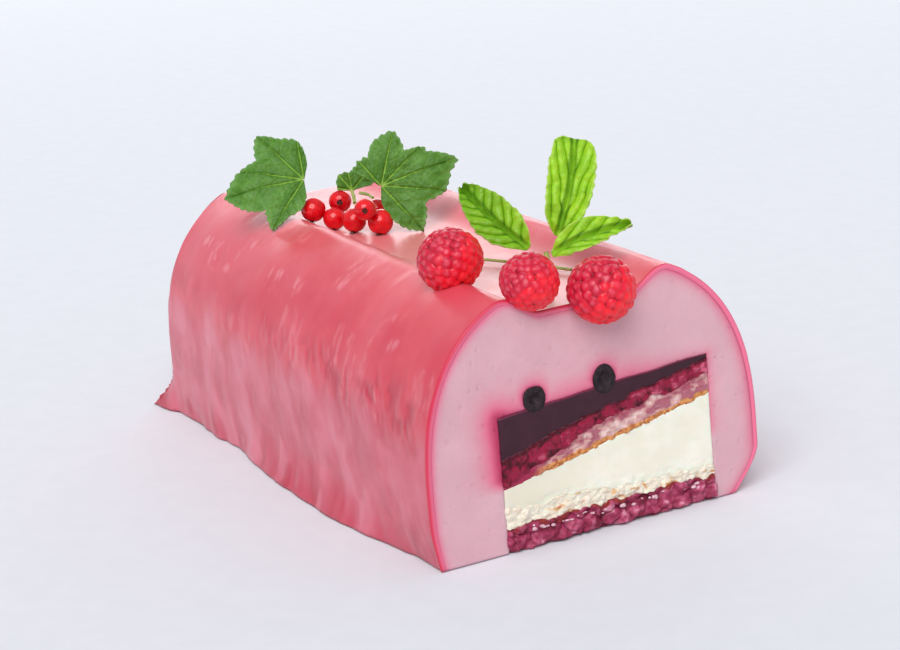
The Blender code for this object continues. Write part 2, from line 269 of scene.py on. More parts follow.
class Look:
    """A Principled material with short helpers for its procedural nodes."""

    def __init__(self, name, **settings):
        self.material = bpy.data.materials.new(name)
        self.material.use_nodes = True
        self.nodes = self.material.node_tree.nodes
        self.links = self.material.node_tree.links
        self.shader = self.nodes["Principled BSDF"]
        for key, value in settings.items():
            self.shader.inputs[key.replace("_", " ")].default_value = value
        coordinates = self.nodes.new("ShaderNodeTexCoord")
        scale = self.nodes.new("ShaderNodeVectorMath")
        scale.operation = "SCALE"
        scale.inputs["Scale"].default_value = 1.0 / MM
        self.links.new(coordinates.outputs["Object"], scale.inputs[0])
        self.place = scale.outputs[0]

    def feed(self, value, socket):
        if isinstance(value, bpy.types.NodeSocket):
            self.links.new(value, socket)
        else:
            socket.default_value = value

    def stretched(self, size):
        """The place in cells of the given size in mm, one number for each axis."""
        node = self.nodes.new("ShaderNodeVectorMath")
        node.operation = "DIVIDE"
        self.links.new(self.place, node.inputs[0])
        node.inputs[1].default_value = size
        return node.outputs[0]

    def noise(self, size, detail=3.0):
        node = self.nodes.new("ShaderNodeTexNoise")
        sizes = size if isinstance(size, tuple) else (size, size, size)
        self.links.new(self.stretched(sizes), node.inputs["Vector"])
        node.inputs["Scale"].default_value = 1.0
        node.inputs["Detail"].default_value = detail
        node.inputs["Roughness"].default_value = 0.55
        return node.outputs["Fac"]

    def attribute(self, name):
        node = self.nodes.new("ShaderNodeAttribute")
        node.attribute_name = name
        return node.outputs["Fac"]

    def axis(self, name):
        node = self.nodes.new("ShaderNodeSeparateXYZ")
        self.links.new(self.place, node.inputs[0])
        return node.outputs[name]

    def math(self, operation, first, second):
        node = self.nodes.new("ShaderNodeMath")
        node.operation = operation
        self.feed(first, node.inputs[0])
        self.feed(second, node.inputs[1])
        return node.outputs[0]

    def span(self, value, low, high, to_low=0.0, to_high=1.0):
        """The value smoothly mapped from one range to another."""
        node = self.nodes.new("ShaderNodeMapRange")
        node.interpolation_type = "SMOOTHSTEP"
        self.feed(value, node.inputs["Value"])
        for key, number in zip(("From Min", "From Max", "To Min", "To Max"),
                               (low, high, to_low, to_high)):
            node.inputs[key].default_value = number
        return node.outputs["Result"]

    def mix(self, share, first, second):
        node = self.nodes.new("ShaderNodeMix")
        node.data_type = "RGBA"
        self.feed(share, node.inputs["Factor"])
        self.feed(first, node.inputs["A"])
        self.feed(second, node.inputs["B"])
        return node.outputs["Result"]

    def over(self, colour, share, most, other):
        """The colour with another laid over it: the share says where, most how much."""
        return self.mix(self.math("MULTIPLY", share, most), colour, linear(*other))

    def bump(self, height, distance, strength=1.0, onto=None):
        node = self.nodes.new("ShaderNodeBump")
        node.inputs["Strength"].default_value = strength
        node.inputs["Distance"].default_value = distance * MM
        self.feed(height, node.inputs["Height"])
        if onto:
            self.links.new(onto, node.inputs["Normal"])
        return node.outputs["Normal"]

    def finish(self, colour, roughness=None, normal=None):
        self.feed(colour, self.shader.inputs["Base Color"])
        if roughness is not None:
            self.feed(roughness, self.shader.inputs["Roughness"])
        if normal is not None:
            self.links.new(normal, self.shader.inputs["Normal"])
        return self.material


def glaze_look():
    """Coral high up and mauve low down, with painted highlights and glints on the ripples' crests,
    painted shade in their creases, painted glare on the crown and dark patches at the foot.
    """
    look = Look("raspberry_glaze", IOR=1.45, Coat_Weight=0.4, Coat_Roughness=0.26,
                Subsurface_Weight=0.12, Subsurface_Scale=0.004,
                Subsurface_Radius=(1.0, 0.35, 0.3))
    height = look.axis("Z")
    patches = look.noise((20.0, 20.0, 13.0), 3.0)
    coral = look.mix(look.span(patches, 0.3, 0.7), linear(220, 74, 90), linear(210, 58, 80))
    mauve = look.mix(look.span(patches, 0.35, 0.65), linear(214, 92, 112), linear(204, 76, 98))
    colour = look.mix(look.attribute("low"), coral, mauve)
    crown = look.span(height, 56.0, 66.0)
    colour = look.over(colour, crown, 0.4, (226, 90, 100))
    # painted glare along the crown's trough
    colour = look.over(colour, look.attribute("painted_trough_glare"), 0.5, (246, 168, 166))
    # painted soft highlight high on the side
    colour = look.over(colour, look.attribute("painted_soft_highlight"), 0.4, (224, 112, 122))
    foot = look.span(height, 12.0, 1.0)
    colour = look.over(colour, foot, 0.5, (190, 52, 82))
    far = look.span(look.axis("X"), -10.0, -105.0)
    colour = look.over(colour, far, 0.35, (222, 112, 130))
    # painted highlights on the ripples' raised crests
    colour = look.over(colour, look.attribute("painted_ripple_highlight"), 0.5, (232, 140, 158))
    # painted glints on the raised crinkles
    colour = look.over(colour, look.attribute("painted_glint"), 0.4, (242, 168, 176))
    # painted shade in the ripples' creases, with dark spots and a dark crimson pool near the foot
    colour = look.over(colour, look.attribute("deep"), 0.72, (178, 30, 58))
    edge = look.attribute("edge")
    rim = look.mix(look.span(edge, 0.2, 1.0), linear(206, 34, 70), linear(238, 112, 146))
    colour = look.mix(look.span(edge, 0.0, 0.25), colour, rim)
    normal = look.bump(look.noise((1.6, 2.6, 3.2), 2.0), 0.03, 0.5)
    roughness = look.span(look.noise(6.0, 2.0), 0.3, 0.7, 0.32, 0.42)
    roughness = look.math("ADD", roughness, look.math("MULTIPLY", crown, 0.1))
    return look.finish(colour, roughness, normal)


def mousse_look():
    """Pale pink, stained pink and then crimson."""
    look = Look("raspberry_mousse", IOR=1.4, Specular_IOR_Level=0.35, Subsurface_Weight=0.3,
                Subsurface_Scale=0.005,
                Subsurface_Radius=(1.0, 0.5, 0.5))
    cloud = look.noise(14.0, 4.0)
    colour = look.mix(look.span(cloud, 0.3, 0.7), linear(220, 176, 186), linear(213, 167, 178))
    specks = look.span(look.noise(0.9, 2.0), 0.62, 0.75)
    colour = look.over(colour, specks, 0.18, (206, 140, 160))
    stain = look.attribute("stain")
    colour = look.mix(look.span(stain, 0.0, 0.75), colour, linear(226, 108, 140))
    colour = look.mix(look.span(stain, 0.5, 1.0), colour, linear(186, 56, 94))
    normal = look.bump(look.noise(0.8, 3.0), 0.08, 0.5)
    normal = look.bump(look.noise((2.0, 7.0, 2.0), 3.0), 0.15, 0.4, normal)
    return look.finish(colour, 0.5, normal)


def jelly_look():
    look = Look("dark_jelly", IOR=1.4, Specular_IOR_Level=0.35, Coat_Weight=0.1, Coat_Roughness=0.2,
                Subsurface_Weight=0.1, Subsurface_Scale=0.002)
    cloud = look.span(look.noise(5.0, 4.0), 0.3, 0.7)
    colour = look.mix(cloud, linear(54, 20, 34), linear(64, 26, 42))
    colour = look.mix(look.span(look.attribute("rim"), 0.2, 1.0), colour, linear(112, 46, 72))
    normal = look.bump(look.noise(1.5, 3.0), 0.1, 0.4)
    return look.finish(colour, 0.34, normal)


def compote_look():
    look = Look("raspberry_compote", IOR=1.42, Coat_Weight=0.15, Coat_Roughness=0.2,
                Specular_IOR_Level=0.25, Subsurface_Weight=0.15, Subsurface_Scale=0.002)
    tint = look.attribute("tint")
    colour = look.mix(look.span(tint, 0.05, 0.45), linear(70, 4, 22), linear(150, 24, 60))
    colour = look.mix(look.span(tint, 0.5, 0.9), colour, linear(212, 100, 130))
    fine = look.span(look.noise(0.9, 3.0), 0.4, 0.7)
    colour = look.over(colour, fine, 0.5, (116, 14, 42))
    return look.finish(colour, 0.38, look.bump(look.noise(0.6, 3.0), 0.12, 0.5))


def sponge_look():
    """Pale pink crumb, soaked at one end, with a golden skin below."""
    look = Look("pink_sponge", IOR=1.4, Specular_IOR_Level=0.25, Subsurface_Weight=0.15,
                Subsurface_Scale=0.002)
    tint = look.attribute("tint")
    colour = look.mix(look.span(tint, 0.1, 0.7), linear(176, 104, 118), linear(210, 164, 160))
    colour = look.mix(look.span(tint, 0.75, 1.0), colour, linear(228, 196, 192))
    colour = look.mix(look.attribute("soak"), colour, linear(160, 48, 80))
    # darker specks: painted shade in the pores
    painted_pore_shade = look.span(look.noise(0.5, 2.0), 0.55, 0.72)
    colour = look.over(colour, painted_pore_shade, 0.45, (164, 84, 96))
    skin = look.attribute("skin")
    gold = look.mix(look.span(look.noise(1.2, 3.0), 0.35, 0.65), linear(176, 100, 58),
                    linear(222, 158, 96))
    colour = look.mix(skin, colour, gold)
    return look.finish(colour, 0.6, look.bump(look.noise(0.5, 3.0), 0.2, 0.7))


def cream_look():
    look = Look("vanilla_cream", IOR=1.4, Specular_IOR_Level=0.25, Subsurface_Weight=0.25,
                Subsurface_Scale=0.004)
    cloud = look.span(look.noise(7.0, 3.0), 0.3, 0.7)
    colour = look.mix(cloud, linear(236, 232, 214), linear(243, 240, 226))
    left = look.span(look.axis("Y"), 4.0, -26.0)
    colour = look.over(colour, left, 0.8, (228, 220, 200))
    colour = look.mix(look.span(look.attribute("tint"), 0.3, 1.0), colour, linear(222, 200, 168))
    return look.finish(colour, 0.5, look.bump(look.noise((2.0, 5.0, 2.0), 3.0), 0.06, 0.4))


def crisp_look():
    look = Look("crisp_crumb", IOR=1.4, Specular_IOR_Level=0.3, Subsurface_Weight=0.15,
                Subsurface_Scale=0.002)
    tint = look.attribute("tint")
    colour = look.mix(look.span(tint, 0.0, 0.35), linear(234, 230, 212), linear(232, 218, 198))
    colour = look.mix(look.span(tint, 0.4, 0.7), colour, linear(220, 180, 136))
    colour = look.mix(look.span(tint, 0.75, 1.0), colour, linear(190, 124, 84))
    fine = look.span(look.noise(0.7, 3.0), 0.5, 0.75)
    colour = look.over(colour, fine, 0.3, (206, 160, 138))
    return look.finish(colour, 0.55, look.bump(look.noise(0.4, 3.0), 0.12, 0.6))


def crumble_look():
    look = Look("raspberry_crumble", IOR=1.4, Specular_IOR_Level=0.4, Subsurface_Weight=0.15,
                Subsurface_Scale=0.002)
    tint = look.attribute("tint")
    colour = look.mix(look.span(tint, 0.0, 0.4), linear(116, 24, 52), linear(158, 50, 86))
    colour = look.mix(look.span(tint, 0.4, 0.75), colour, linear(186, 86, 118))
    colour = look.mix(look.span(tint, 0.78, 1.0), colour, linear(214, 140, 164))
    fine = look.span(look.noise(0.9, 4.0), 0.42, 0.72)
    colour = look.over(colour, fine, 0.4, (132, 30, 64))
    # painted shade in the cracks between lumps
    colour = look.mix(look.attribute("deep"), colour, linear(82, 10, 32))
    colour = look.mix(look.attribute("skin"), colour, linear(140, 44, 42))
    return look.finish(colour, 0.45, look.bump(look.noise(0.6, 4.0), 0.18, 0.6))


def plain_look(name, main, other, size, roughness, bump=0.1, **settings):
    """Two shades of a colour in soft patches, with a little relief."""
    look = Look(name, **settings)
    patches = look.span(look.noise(size, 4.0), 0.3, 0.7)
    colour = look.mix(patches, linear(*main), linear(*other))
    return look.finish(colour, roughness, look.bump(look.noise(size * 0.3, 3.0), bump, 0.6))


# The log's skin --------------------------------------------------------------------------

def arch_outline(count):
    """The log's outline, spaced evenly from one foot over the crown to the other."""
    turn = np.linspace(0.0, math.pi, 4001)
    y = -HALF_WIDTH * np.sign(np.cos(turn)) * np.abs(np.cos(turn)) ** (2.0 / ARCH_POWER)
    rise = np.maximum(np.sin(turn), 0.0) ** (2.0 / ARCH_POWER)
    z = ARCH_SPRING + (ARCH_TOP - ARCH_SPRING) * rise
    wall = smoothstep(TROUGH_FLOOR_HALF, TROUGH_HALF, np.abs(y))
    z = np.where(np.abs(y) < TROUGH_HALF, TROUGH_FLOOR + (z - TROUGH_FLOOR) * wall, z)
    foot = np.linspace(0.0, ARCH_SPRING, 200, endpoint=False)
    side = np.full(len(foot), HALF_WIDTH)
    y = np.concatenate([-side, y, side])
    z = np.concatenate([foot, z, foot[::-1]])
    length = np.concatenate([[0.0], np.cumsum(np.hypot(np.diff(y), np.diff(z)))])
    even = np.linspace(0.0, length[-1], count)
    return np.interp(even, length, y), np.interp(even, length, z), even


def side_foot(x, side):
    """How far the foot stands out along a side, tucked in at the cut and bulging behind it."""
    along = np.clip((CUT_X - x) / (CUT_X - END_X), 0.0, 1.0)
    swell = np.sin(math.pi * along ** 0.8) * smoothstep(0.02, 0.34, along)
    swell = swell * (1.0 - 0.9 * smoothstep(0.45, 0.75, along))
    tuck = np.where(side < 0.0, LEFT_FOOT_TUCK, RIGHT_FOOT_TUCK)
    return SIDE_FOOT_BULGE * swell - tuck * (1.0 - smoothstep(0.0, 0.2, along))


def end_foot(y, z):
    """How far the foot stands out at the far end, most at the left."""
    share = 0.35 + 0.65 * smoothstep(0.0, 1.0, 0.5 - y / HALF_WIDTH)
    return END_FOOT_BULGE * share * np.maximum(0.0, 1.0 - z / END_FOOT_HEIGHT) ** 1.3


def corner_foot(turn, z):
    """How far the foot flares out at the end's upright corners, as turn goes from 0 to 1."""
    weight = 2.0 * turn * math.sqrt(max(0.0, 1.0 - turn * turn))
    return CORNER_FOOT_BULGE * weight * np.maximum(0.0, 1.0 - z / FOOT_HEIGHT) ** 1.5


def skin_stations(side_count, corner_count, end_count, inset):
    """Where each arch of the skin stands: its x, how far it shrinks and how far it has turned."""
    end = END_X + inset
    corner = end + END_ROUNDING
    stations = [(x, 0.0, 0.0) for x in np.linspace(CUT_X, corner, side_count)]
    for step in range(1, corner_count + 1):
        angle = math.pi / 2.0 * step / corner_count
        stations.append((corner - END_ROUNDING * math.sin(angle),
                         END_ROUNDING * (1.0 - math.cos(angle)), math.sin(angle)))
    for shrink in np.linspace(END_ROUNDING, 40.0, end_count + 1)[1:]:
        stations.append((end, shrink, 1.0))
    return stations


def skin_grid(stations, section_count, inset, spread):
    """The skin as a grid of points: one row for each station, one column along the outline."""
    y, z, _ = arch_outline(section_count)
    side = np.sign(y)
    rows = []
    for x, shrink, turn in stations:
        scale_y = 1.0 - (inset + shrink) / HALF_WIDTH
        scale_z = 1.0 - (inset + shrink) / ARCH_TOP
        foot = side_foot(x, side)
        out = np.minimum(foot, 0.0) + np.maximum(foot, 0.0) * spread
        out = out * np.maximum(0.0, 1.0 - z / FOOT_HEIGHT) ** 1.5
        new_y = y * scale_y + side * out * math.cos(turn * math.pi / 2.0)
        new_x = x + turn * (END_LEAN * z * scale_z - end_foot(y * scale_y, z) * spread)
        flare = corner_foot(turn, z) * spread * np.where(y < 0.0, 0.9, 0.35)
        rows.append(np.stack([new_x - 0.75 * flare, new_y + 0.65 * side * flare,
                              z * scale_z], -1))
    return np.array(rows)


GLAZE_SECTION = 300


def glaze_relief(grid, normal, outline):
    """Soft ripples that run down the arch, with crinkles half way up near the cut.

    Gives the relief in mm and the shares of each colour the ripples carry: painted highlights and
    glints on their crests, painted shade in their creases, painted glare and a painted soft
    highlight higher up.
    """
    x, y, z = grid[..., 0], grid[..., 1], grid[..., 2]
    run = np.broadcast_to(outline, x.shape)
    climb = np.minimum(run, outline[-1] - run)
    # the left side, the right side and the far end read the noise at places far apart
    facing_end = np.clip(-normal[..., 0], 0.0, 1.0) ** 2
    across = x * (1.0 - facing_end) + (np.abs(y) + 200.0) * facing_end
    across = across + np.where(y > 0.0, 340.0, 0.0) * smoothstep(70.0, 80.0, climb)
    slant = 0.22 * np.minimum(climb, 42.0) - 0.16 * np.maximum(climb - 50.0, 0.0)
    side = np.sign(y) * 300.0
    straight = np.stack([across + slant, climb + side], -1)
    warp = np.stack([noise(straight, (11.0, 15.0), 19, 2),
                     noise(straight, (12.0, 12.0), 29, 2)], -1)
    flow = straight + warp * np.array([2.6, 3.0])
    broad = noise(straight, (26.0, 34.0), 11, 2)
    streak = noise(flow, (4.6, 13.0), 23, 2)
    small = noise(flow, (2.0, 4.8), 33, 2)
    patch = smoothstep(-0.35, 0.35, noise(straight, (22.0, 17.0), 41))
    near_cut = smoothstep(-60.0, 70.0, x)

    blot = noise(flow, (9.0, 14.0), 83, 2)
    border = BORDER_HEIGHT + 4.0 * noise(straight, (22.0, 60.0), 53) + 2.0 * streak + 4.0 * blot
    low = smoothstep(border + 6.0, border - 6.0, z)
    crinkle_line = CRINKLE_HEIGHT + 3.0 * noise(straight, (16.0, 60.0), 57)
    band = np.exp(-((z - crinkle_line) / 6.0) ** 2) * near_cut
    high_band = np.exp(-((climb - PAINTED_GLINT_CLIMB) / 9.0) ** 2)

    # painted highlights on the raised crests of the ripples, most of them low down
    painted_ripple_highlight = 0.7 * smoothstep(0.0, 0.5, blot) + 0.28 * smoothstep(0.05, 0.5, streak)
    painted_ripple_highlight = np.clip(painted_ripple_highlight, 0.0, 1.0) * (0.25 + 0.75 * low) * (0.5 + 0.5 * patch)
    # painted soft highlight high on the side, stronger toward the far end
    painted_soft_highlight = smoothstep(0.0, 0.5, noise(straight, (30.0, 20.0), 87, 2)) * (1.0 - low)
    painted_soft_highlight = painted_soft_highlight * smoothstep(70.0, -60.0, x)
    clusters = smoothstep(0.0, 0.4, noise(straight, (13.0, 9.0), 89))
    # painted glints on the raised crinkles, in clusters along the crinkle band, high on the arch
    # and low down
    painted_glint_gate = np.clip(0.6 * band * clusters + 0.9 * high_band * clusters
                         + 0.3 * clusters * smoothstep(14.0, 26.0, z), 0.0, 1.0)
    painted_glint = smoothstep(0.12, 0.55, small) * painted_glint_gate
    # painted shade in the creases of the crinkles and ripples, plus dark spots near the foot and a
    # dark crimson pool at the far left corner
    deep = 0.9 * smoothstep(0.0, 0.35, -small) * band
    deep = deep + 0.12 * smoothstep(0.1, 0.5, -streak) * low * patch
    deep = deep + 0.4 * smoothstep(0.1, 0.5, -blot) * smoothstep(54.0, 42.0, z)
    spots = noise(straight, (6.0, 8.0), 81, 2)
    deep = deep + smoothstep(0.15, 0.45, spots) * smoothstep(13.0, 3.0, z) * 0.9
    corner = np.exp(-(((x - END_X + 6.0) / 9.0) ** 2 + (z / 11.0) ** 2)) * (y < 0.0)
    deep = np.clip(deep + 1.1 * corner, 0.0, 1.0)

    on_side = 1.0 - 0.8 * smoothstep(74.0, 88.0, climb)
    relief = 0.5 * broad + (0.4 + 0.6 * patch) * (0.05 * streak + 0.14 * blot)
    relief = relief + (0.02 + 0.32 * band + 0.08 * high_band * clusters) * small
    relief = relief * on_side
    lumpy = noise(np.stack([across, z + side], -1), (8.0, 12.0), 71, 2)
    relief = relief + smoothstep(15.0, 1.0, z) * (0.7 * lumpy - 0.5)
    at_cut = smoothstep(0.0, 2.5, CUT_X - x)
    # painted glare: the crown's trough is painted pale as the backlight's glare
    painted_trough_glare = smoothstep(20.0, TROUGH_FLOOR_HALF, np.abs(y)) * smoothstep(50.0, 56.0, z)
    return relief * (0.25 + 0.75 * at_cut), {"low": low, "painted_ripple_highlight": painted_ripple_highlight, "painted_glint": painted_glint,
                                             "deep": deep, "painted_soft_highlight": painted_soft_highlight,
                                             "painted_trough_glare": painted_trough_glare}


def glaze_piece(look):
    stations = skin_stations(210, 22, 26, 0.0)
    grid = skin_grid(stations, GLAZE_SECTION, 0.0, 1.0)
    _, _, outline = arch_outline(GLAZE_SECTION)
    normal = grid_normals(grid)
    outward = np.sign(np.sum(normal * (grid - np.array([0.0, 0.0, 20.0])), -1).mean())
    normal = normal * outward
    relief, paint = glaze_relief(grid, normal, outline)
    push = normal * relief[..., None]
    push[:, :, 2] *= smoothstep(0.0, 3.0, grid[..., 2])
    push[0, :, 0] = 0.0
    grid = grid + push
    grid[:, 0, 2] = 0.0
    grid[:, -1, 2] = 0.0

    # the cut edge: a small rounding, then the cut rim as thick as the glaze
    rim = []
    for inset, back in ((GLAZE_THICKNESS, 0.35), (1.3, 0.05), (0.5, 0.0), (0.2, 0.06)):
        ring = grid[0] - normal[0] * np.array([0.0, 1.0, 1.0]) * inset
        ring[:, 0] = CUT_X - back
        ring[[0, -1], 2] = 0.0
        rim.append(ring)
    grid[0, :, 0] = CUT_X - 0.22
    outer = np.concatenate([np.array(rim), grid])
    rows, columns = outer.shape[:2]

    inner = skin_grid(skin_stations(9, 3, 2, GLAZE_THICKNESS)[1:], columns, GLAZE_THICKNESS, 0.0)
    inner_rows = inner.shape[0]
    points = np.concatenate([outer.reshape(-1, 3), inner.reshape(-1, 3)])
    shift = rows * columns
    faces = grid_faces(rows, columns)
    faces += grid_faces(inner_rows, columns, shift, flip=True)
    faces += strip_faces(0, shift, columns)
    last = (rows - 1) * columns
    faces.append(tuple(range(last, last + columns)))
    last = shift + (inner_rows - 1) * columns
    faces.append(tuple(range(last + columns - 1, last - 1, -1)))
    under = [i * columns for i in range(rows)]
    under += [i * columns + columns - 1 for i in range(rows - 1, -1, -1)]
    under += [shift + i * columns + columns - 1 for i in range(inner_rows)]
    under += [shift + i * columns for i in range(inner_rows - 1, -1, -1)]
    faces.append(tuple(under))

    nothing = np.zeros(inner_rows * columns)
    edge = np.zeros((rows, columns))
    edge[:6] = np.array([1.0, 0.9, 0.55, 0.3, 0.25, 0.1])[:, None]
    right = smoothstep(-10.0, 35.0, outer[0, :, 1])
    edge[:5] = edge[:5] * (1.0 - right) + right * np.array([1.0, 1.0, 1.0, 0.8, 0.5])[:, None]
    attributes = {"edge": np.concatenate([edge.ravel(), nothing])}
    for key, values in paint.items():
        full = np.zeros((rows, columns))
        full[4:] = values
        attributes[key] = np.concatenate([full.ravel(), nothing])
    return add_piece("glaze_coat", points, faces, look, ["glaze"], attributes)


# The insert's boundaries -----------------------------------------------------------------

def edge_line(left, right, arch=0.0, wave=0.0, size=4.0, seed=1):
    """A function that gives a layer boundary's height at each y."""
    def height(y):
        y = np.asarray(y, dtype=np.float64)
        along = np.clip((y - INSERT_LEFT) / (INSERT_RIGHT - INSERT_LEFT), 0.0, 1.0)
        z = left + (right - left) * along + arch * np.sin(math.pi * along)
        flat = np.stack([y, np.zeros_like(y)], -1)
        return z + wave * noise(flat, size, seed, 3)
    return height


FLOOR = edge_line(0.0, 0.0)
CRUMBLE_TOP = edge_line(7.2, 7.0, wave=1.0, size=3.2, seed=101)
CRISP_TOP = edge_line(12.2, 9.6, wave=1.5, size=4.2, seed=111)
CREAM_TOP = edge_line(17.4, 30.0, wave=0.45, size=6.0, seed=121)
SPONGE_TOP = edge_line(18.6, 35.4, arch=2.4, wave=1.4, size=4.5, seed=131)
COMPOTE_TOP = edge_line(25.4, 39.4, arch=1.0, wave=0.9, size=4.5, seed=143)
JELLY_TOP = edge_line(36.9, 40.9, wave=0.25, size=9.0, seed=151)


def layer_piece(name, bottom, top, shape, look, columns=220, rows=40):
    """A layer with a detailed cut face.

    shape takes the face's (y, z) points and the share of the way up, and gives how far the
    face stands out and the attributes that colour it.
    """
    overlap = 0.45
    y = np.linspace(INSERT_LEFT - overlap, INSERT_RIGHT + overlap, columns)
    up = np.linspace(0.0, 1.0, rows)
    low, high = bottom(y), top(y)
    if low.max() > 0.5:
        low = low - 0.25
    z = low[None, :] + (high - low)[None, :] * up[:, None]
    flat = np.stack([np.broadcast_to(y, z.shape), z], -1)
    out, attributes = shape(flat, np.broadcast_to(up[:, None], z.shape))
    ends = np.minimum(flat[..., 0] - y[0], y[-1] - flat[..., 0])
    out = out - 0.9 * (1.0 - smoothstep(0.0, 1.0, ends))
    rounding = np.minimum(up, 1.0 - up)[:, None] * (high - low)[None, :]
    out = out - 0.08 * (1.0 - smoothstep(0.0, 0.5, rounding)) * (low.max() > 0.5)
    front = np.stack([CUT_X + out, flat[..., 0], z], -1)

    border = grid_border(rows, columns)
    front = front.reshape(-1, 3)
    rings = []
    for x in (CUT_X - 4.0, INSERT_END_X):
        ring = front[border]
        ring[:, 0] = x
        rings.append(ring)
    points = np.concatenate([front, *rings])
    middle = range(rows * columns, rows * columns + len(border))
    back = range(middle.stop, middle.stop + len(border))
    faces = grid_faces(rows, columns) + band_faces(border, middle) + band_faces(middle, back)
    faces.append(tuple(back))
    extra = {}
    for key, values in attributes.items():
        on_ring = values.ravel()[border]
        extra[key] = np.concatenate([values.ravel(), on_ring, on_ring])
    return add_piece("layer_" + name, points, faces, look, [name], extra)


def jelly_shape(flat, up):
    out = 0.12 + 0.12 * noise(flat, 6.0, 201, 3)
    for centre_y, centre_z, radius in BERRIES:
        inside = np.hypot(flat[..., 0] - centre_y, flat[..., 1] - centre_z)
        out = np.where(inside < radius - 0.3, -2.0, out)
    rim = np.maximum(smoothstep(0.93, 1.0, up), smoothstep(0.08, 0.0, up))
    return out, {"rim": rim}


def compote_shape(flat, up):
    near, _, number = lumps(flat, 2.6, 211)
    fine, _, small = lumps(flat, 1.1, 215)
    soft = noise(flat, (3.2, 2.0), 217, 3)
    out = 0.2 + 0.55 * (0.5 - near) + 0.3 * (0.5 - fine) + 0.4 * soft
    right = smoothstep(-6.0, 24.0, flat[..., 0])
    tint = 0.30 + 0.35 * soft + 0.35 * (number - 0.5) + 0.25 * (small - 0.5) + 0.22 * right
    # darker near the jelly, and darker at the lumps' sunken edges as painted shade
    tint = tint - 0.35 * smoothstep(0.75, 0.95, up) - 0.35 * smoothstep(0.6, 0.8, near)
    return out, {"tint": np.clip(tint, 0.0, 1.0)}


def sponge_shape(flat, up):
    warp = flat + 0.5 * noise(flat, 1.5, 223, 2)[..., None]
    holes = lumps(warp, 1.9, 221)[0]
    pits = smoothstep(0.26, 0.08, holes) * smoothstep(-0.2, 0.3, noise(flat, 3.0, 222))
    out = 0.1 + 0.5 * noise(flat, 1.6, 225, 3) - 0.3 * pits
    # the sunken pits are painted darker: painted shade in the holes
    tint = 0.46 + 1.1 * noise(flat, (2.8, 1.4), 229, 3) - 0.3 * pits
    above = up * (SPONGE_TOP(flat[..., 0]) - CREAM_TOP(flat[..., 0]))
    golden_edge = 1.35 + 0.6 * noise(flat, (2.5, 30.0), 231, 2)
    skin = smoothstep(golden_edge + 0.3, golden_edge - 0.2, above)
    skin = skin * smoothstep(-21.0, -14.0, flat[..., 0])
    stripe = smoothstep(0.12, 0.4, noise(flat, (3.0, 1.2), 237, 2)) * (up > 0.3)
    skin = np.maximum(skin, 0.7 * stripe * smoothstep(6.0, -14.0, np.abs(flat[..., 0] + 12.0)))
    ragged = 0.3 * noise(flat, 2.5, 235, 2)
    soak = np.maximum(smoothstep(-12.0, -22.0, flat[..., 0] + 4.0 * noise(flat, 4.0, 233, 2)),
                      0.5 * smoothstep(0.6, 1.0, up + ragged))
    return out, {"tint": np.clip(tint, 0.0, 1.0), "skin": skin, "soak": soak}


def cream_shape(flat, up):
    drag = noise(flat, (12.0, 3.0), 241, 2)
    torn = noise(flat, 2.2, 243, 3) * smoothstep(0.3, 0.0, up)
    out = 0.1 + 0.1 * drag + 0.4 * torn
    low = smoothstep(0.16, 0.0, up)
    return out, {"tint": np.clip(low * (0.5 + 0.8 * torn), 0.0, 1.0)}


def crisp_shape(flat, up):
    warp = flat + 0.6 * noise(flat, 1.8, 249, 2)[..., None]
    near, _, number = lumps(warp, 2.6, 251)
    fine, _, small = lumps(warp, 1.1, 255)
    out = 0.3 + 0.9 * (0.5 - near) + 0.3 * (0.5 - fine) + 0.3 * noise(flat, 1.5, 259, 2)
    lumps_white = smoothstep(-14.0, -22.0, flat[..., 0])
    gold = smoothstep(0.12, 0.4, noise(flat, (3.2, 1.5), 257, 2) + 0.2 - 0.8 * abs(up - 0.62))
    gold = gold * (1.0 - 0.8 * lumps_white)
    tint = 0.1 * small + 0.2 * number + 0.75 * gold * (0.5 + 0.6 * small)
    return out, {"tint": np.clip(tint, 0.0, 1.0)}


def crumble_shape(flat, up):
    warp = flat + 1.0 * noise(flat, 3.0, 259, 2)[..., None]
    near, next_near, number = lumps(warp, 4.6, 261)
    small_near, _, small = lumps(warp, 1.9, 265)
    crack = 1.0 - smoothstep(0.0, 0.16, next_near - near)
    crack = crack * smoothstep(-0.3, 0.3, noise(flat, 3.0, 263, 2))
    out = 0.5 + 1.9 * (0.42 - near) + 0.7 * (0.5 - small_near) - 0.45 * crack
    out = out + 0.7 * noise(flat, 2.2, 267, 3) - 0.8 * smoothstep(0.12, 0.0, up)
    tint = 0.38 + 0.35 * (number - 0.5) + 0.3 * (small - 0.5) + 0.6 * noise(flat, 1.6, 269, 3)
    # lumps lighter in the middle and darker toward their sunken edges: painted shade between the
    # lumps
    tint = tint + 0.3 * (0.45 - near) + 0.12 * smoothstep(-10.0, 30.0, flat[..., 0])
    ragged = 0.25 * noise(flat, (3.0, 3.0), 271, 2)
    skin = smoothstep(0.78, 0.9, up + ragged) * smoothstep(0.0, 0.3, noise(flat, 5.0, 273) + 0.15)
    # the sunken cracks between lumps are painted dark: painted shade
    return out, {"tint": np.clip(tint, 0.0, 1.0), "deep": np.clip(crack * 0.7, 0.0, 1.0),
                 "skin": skin}


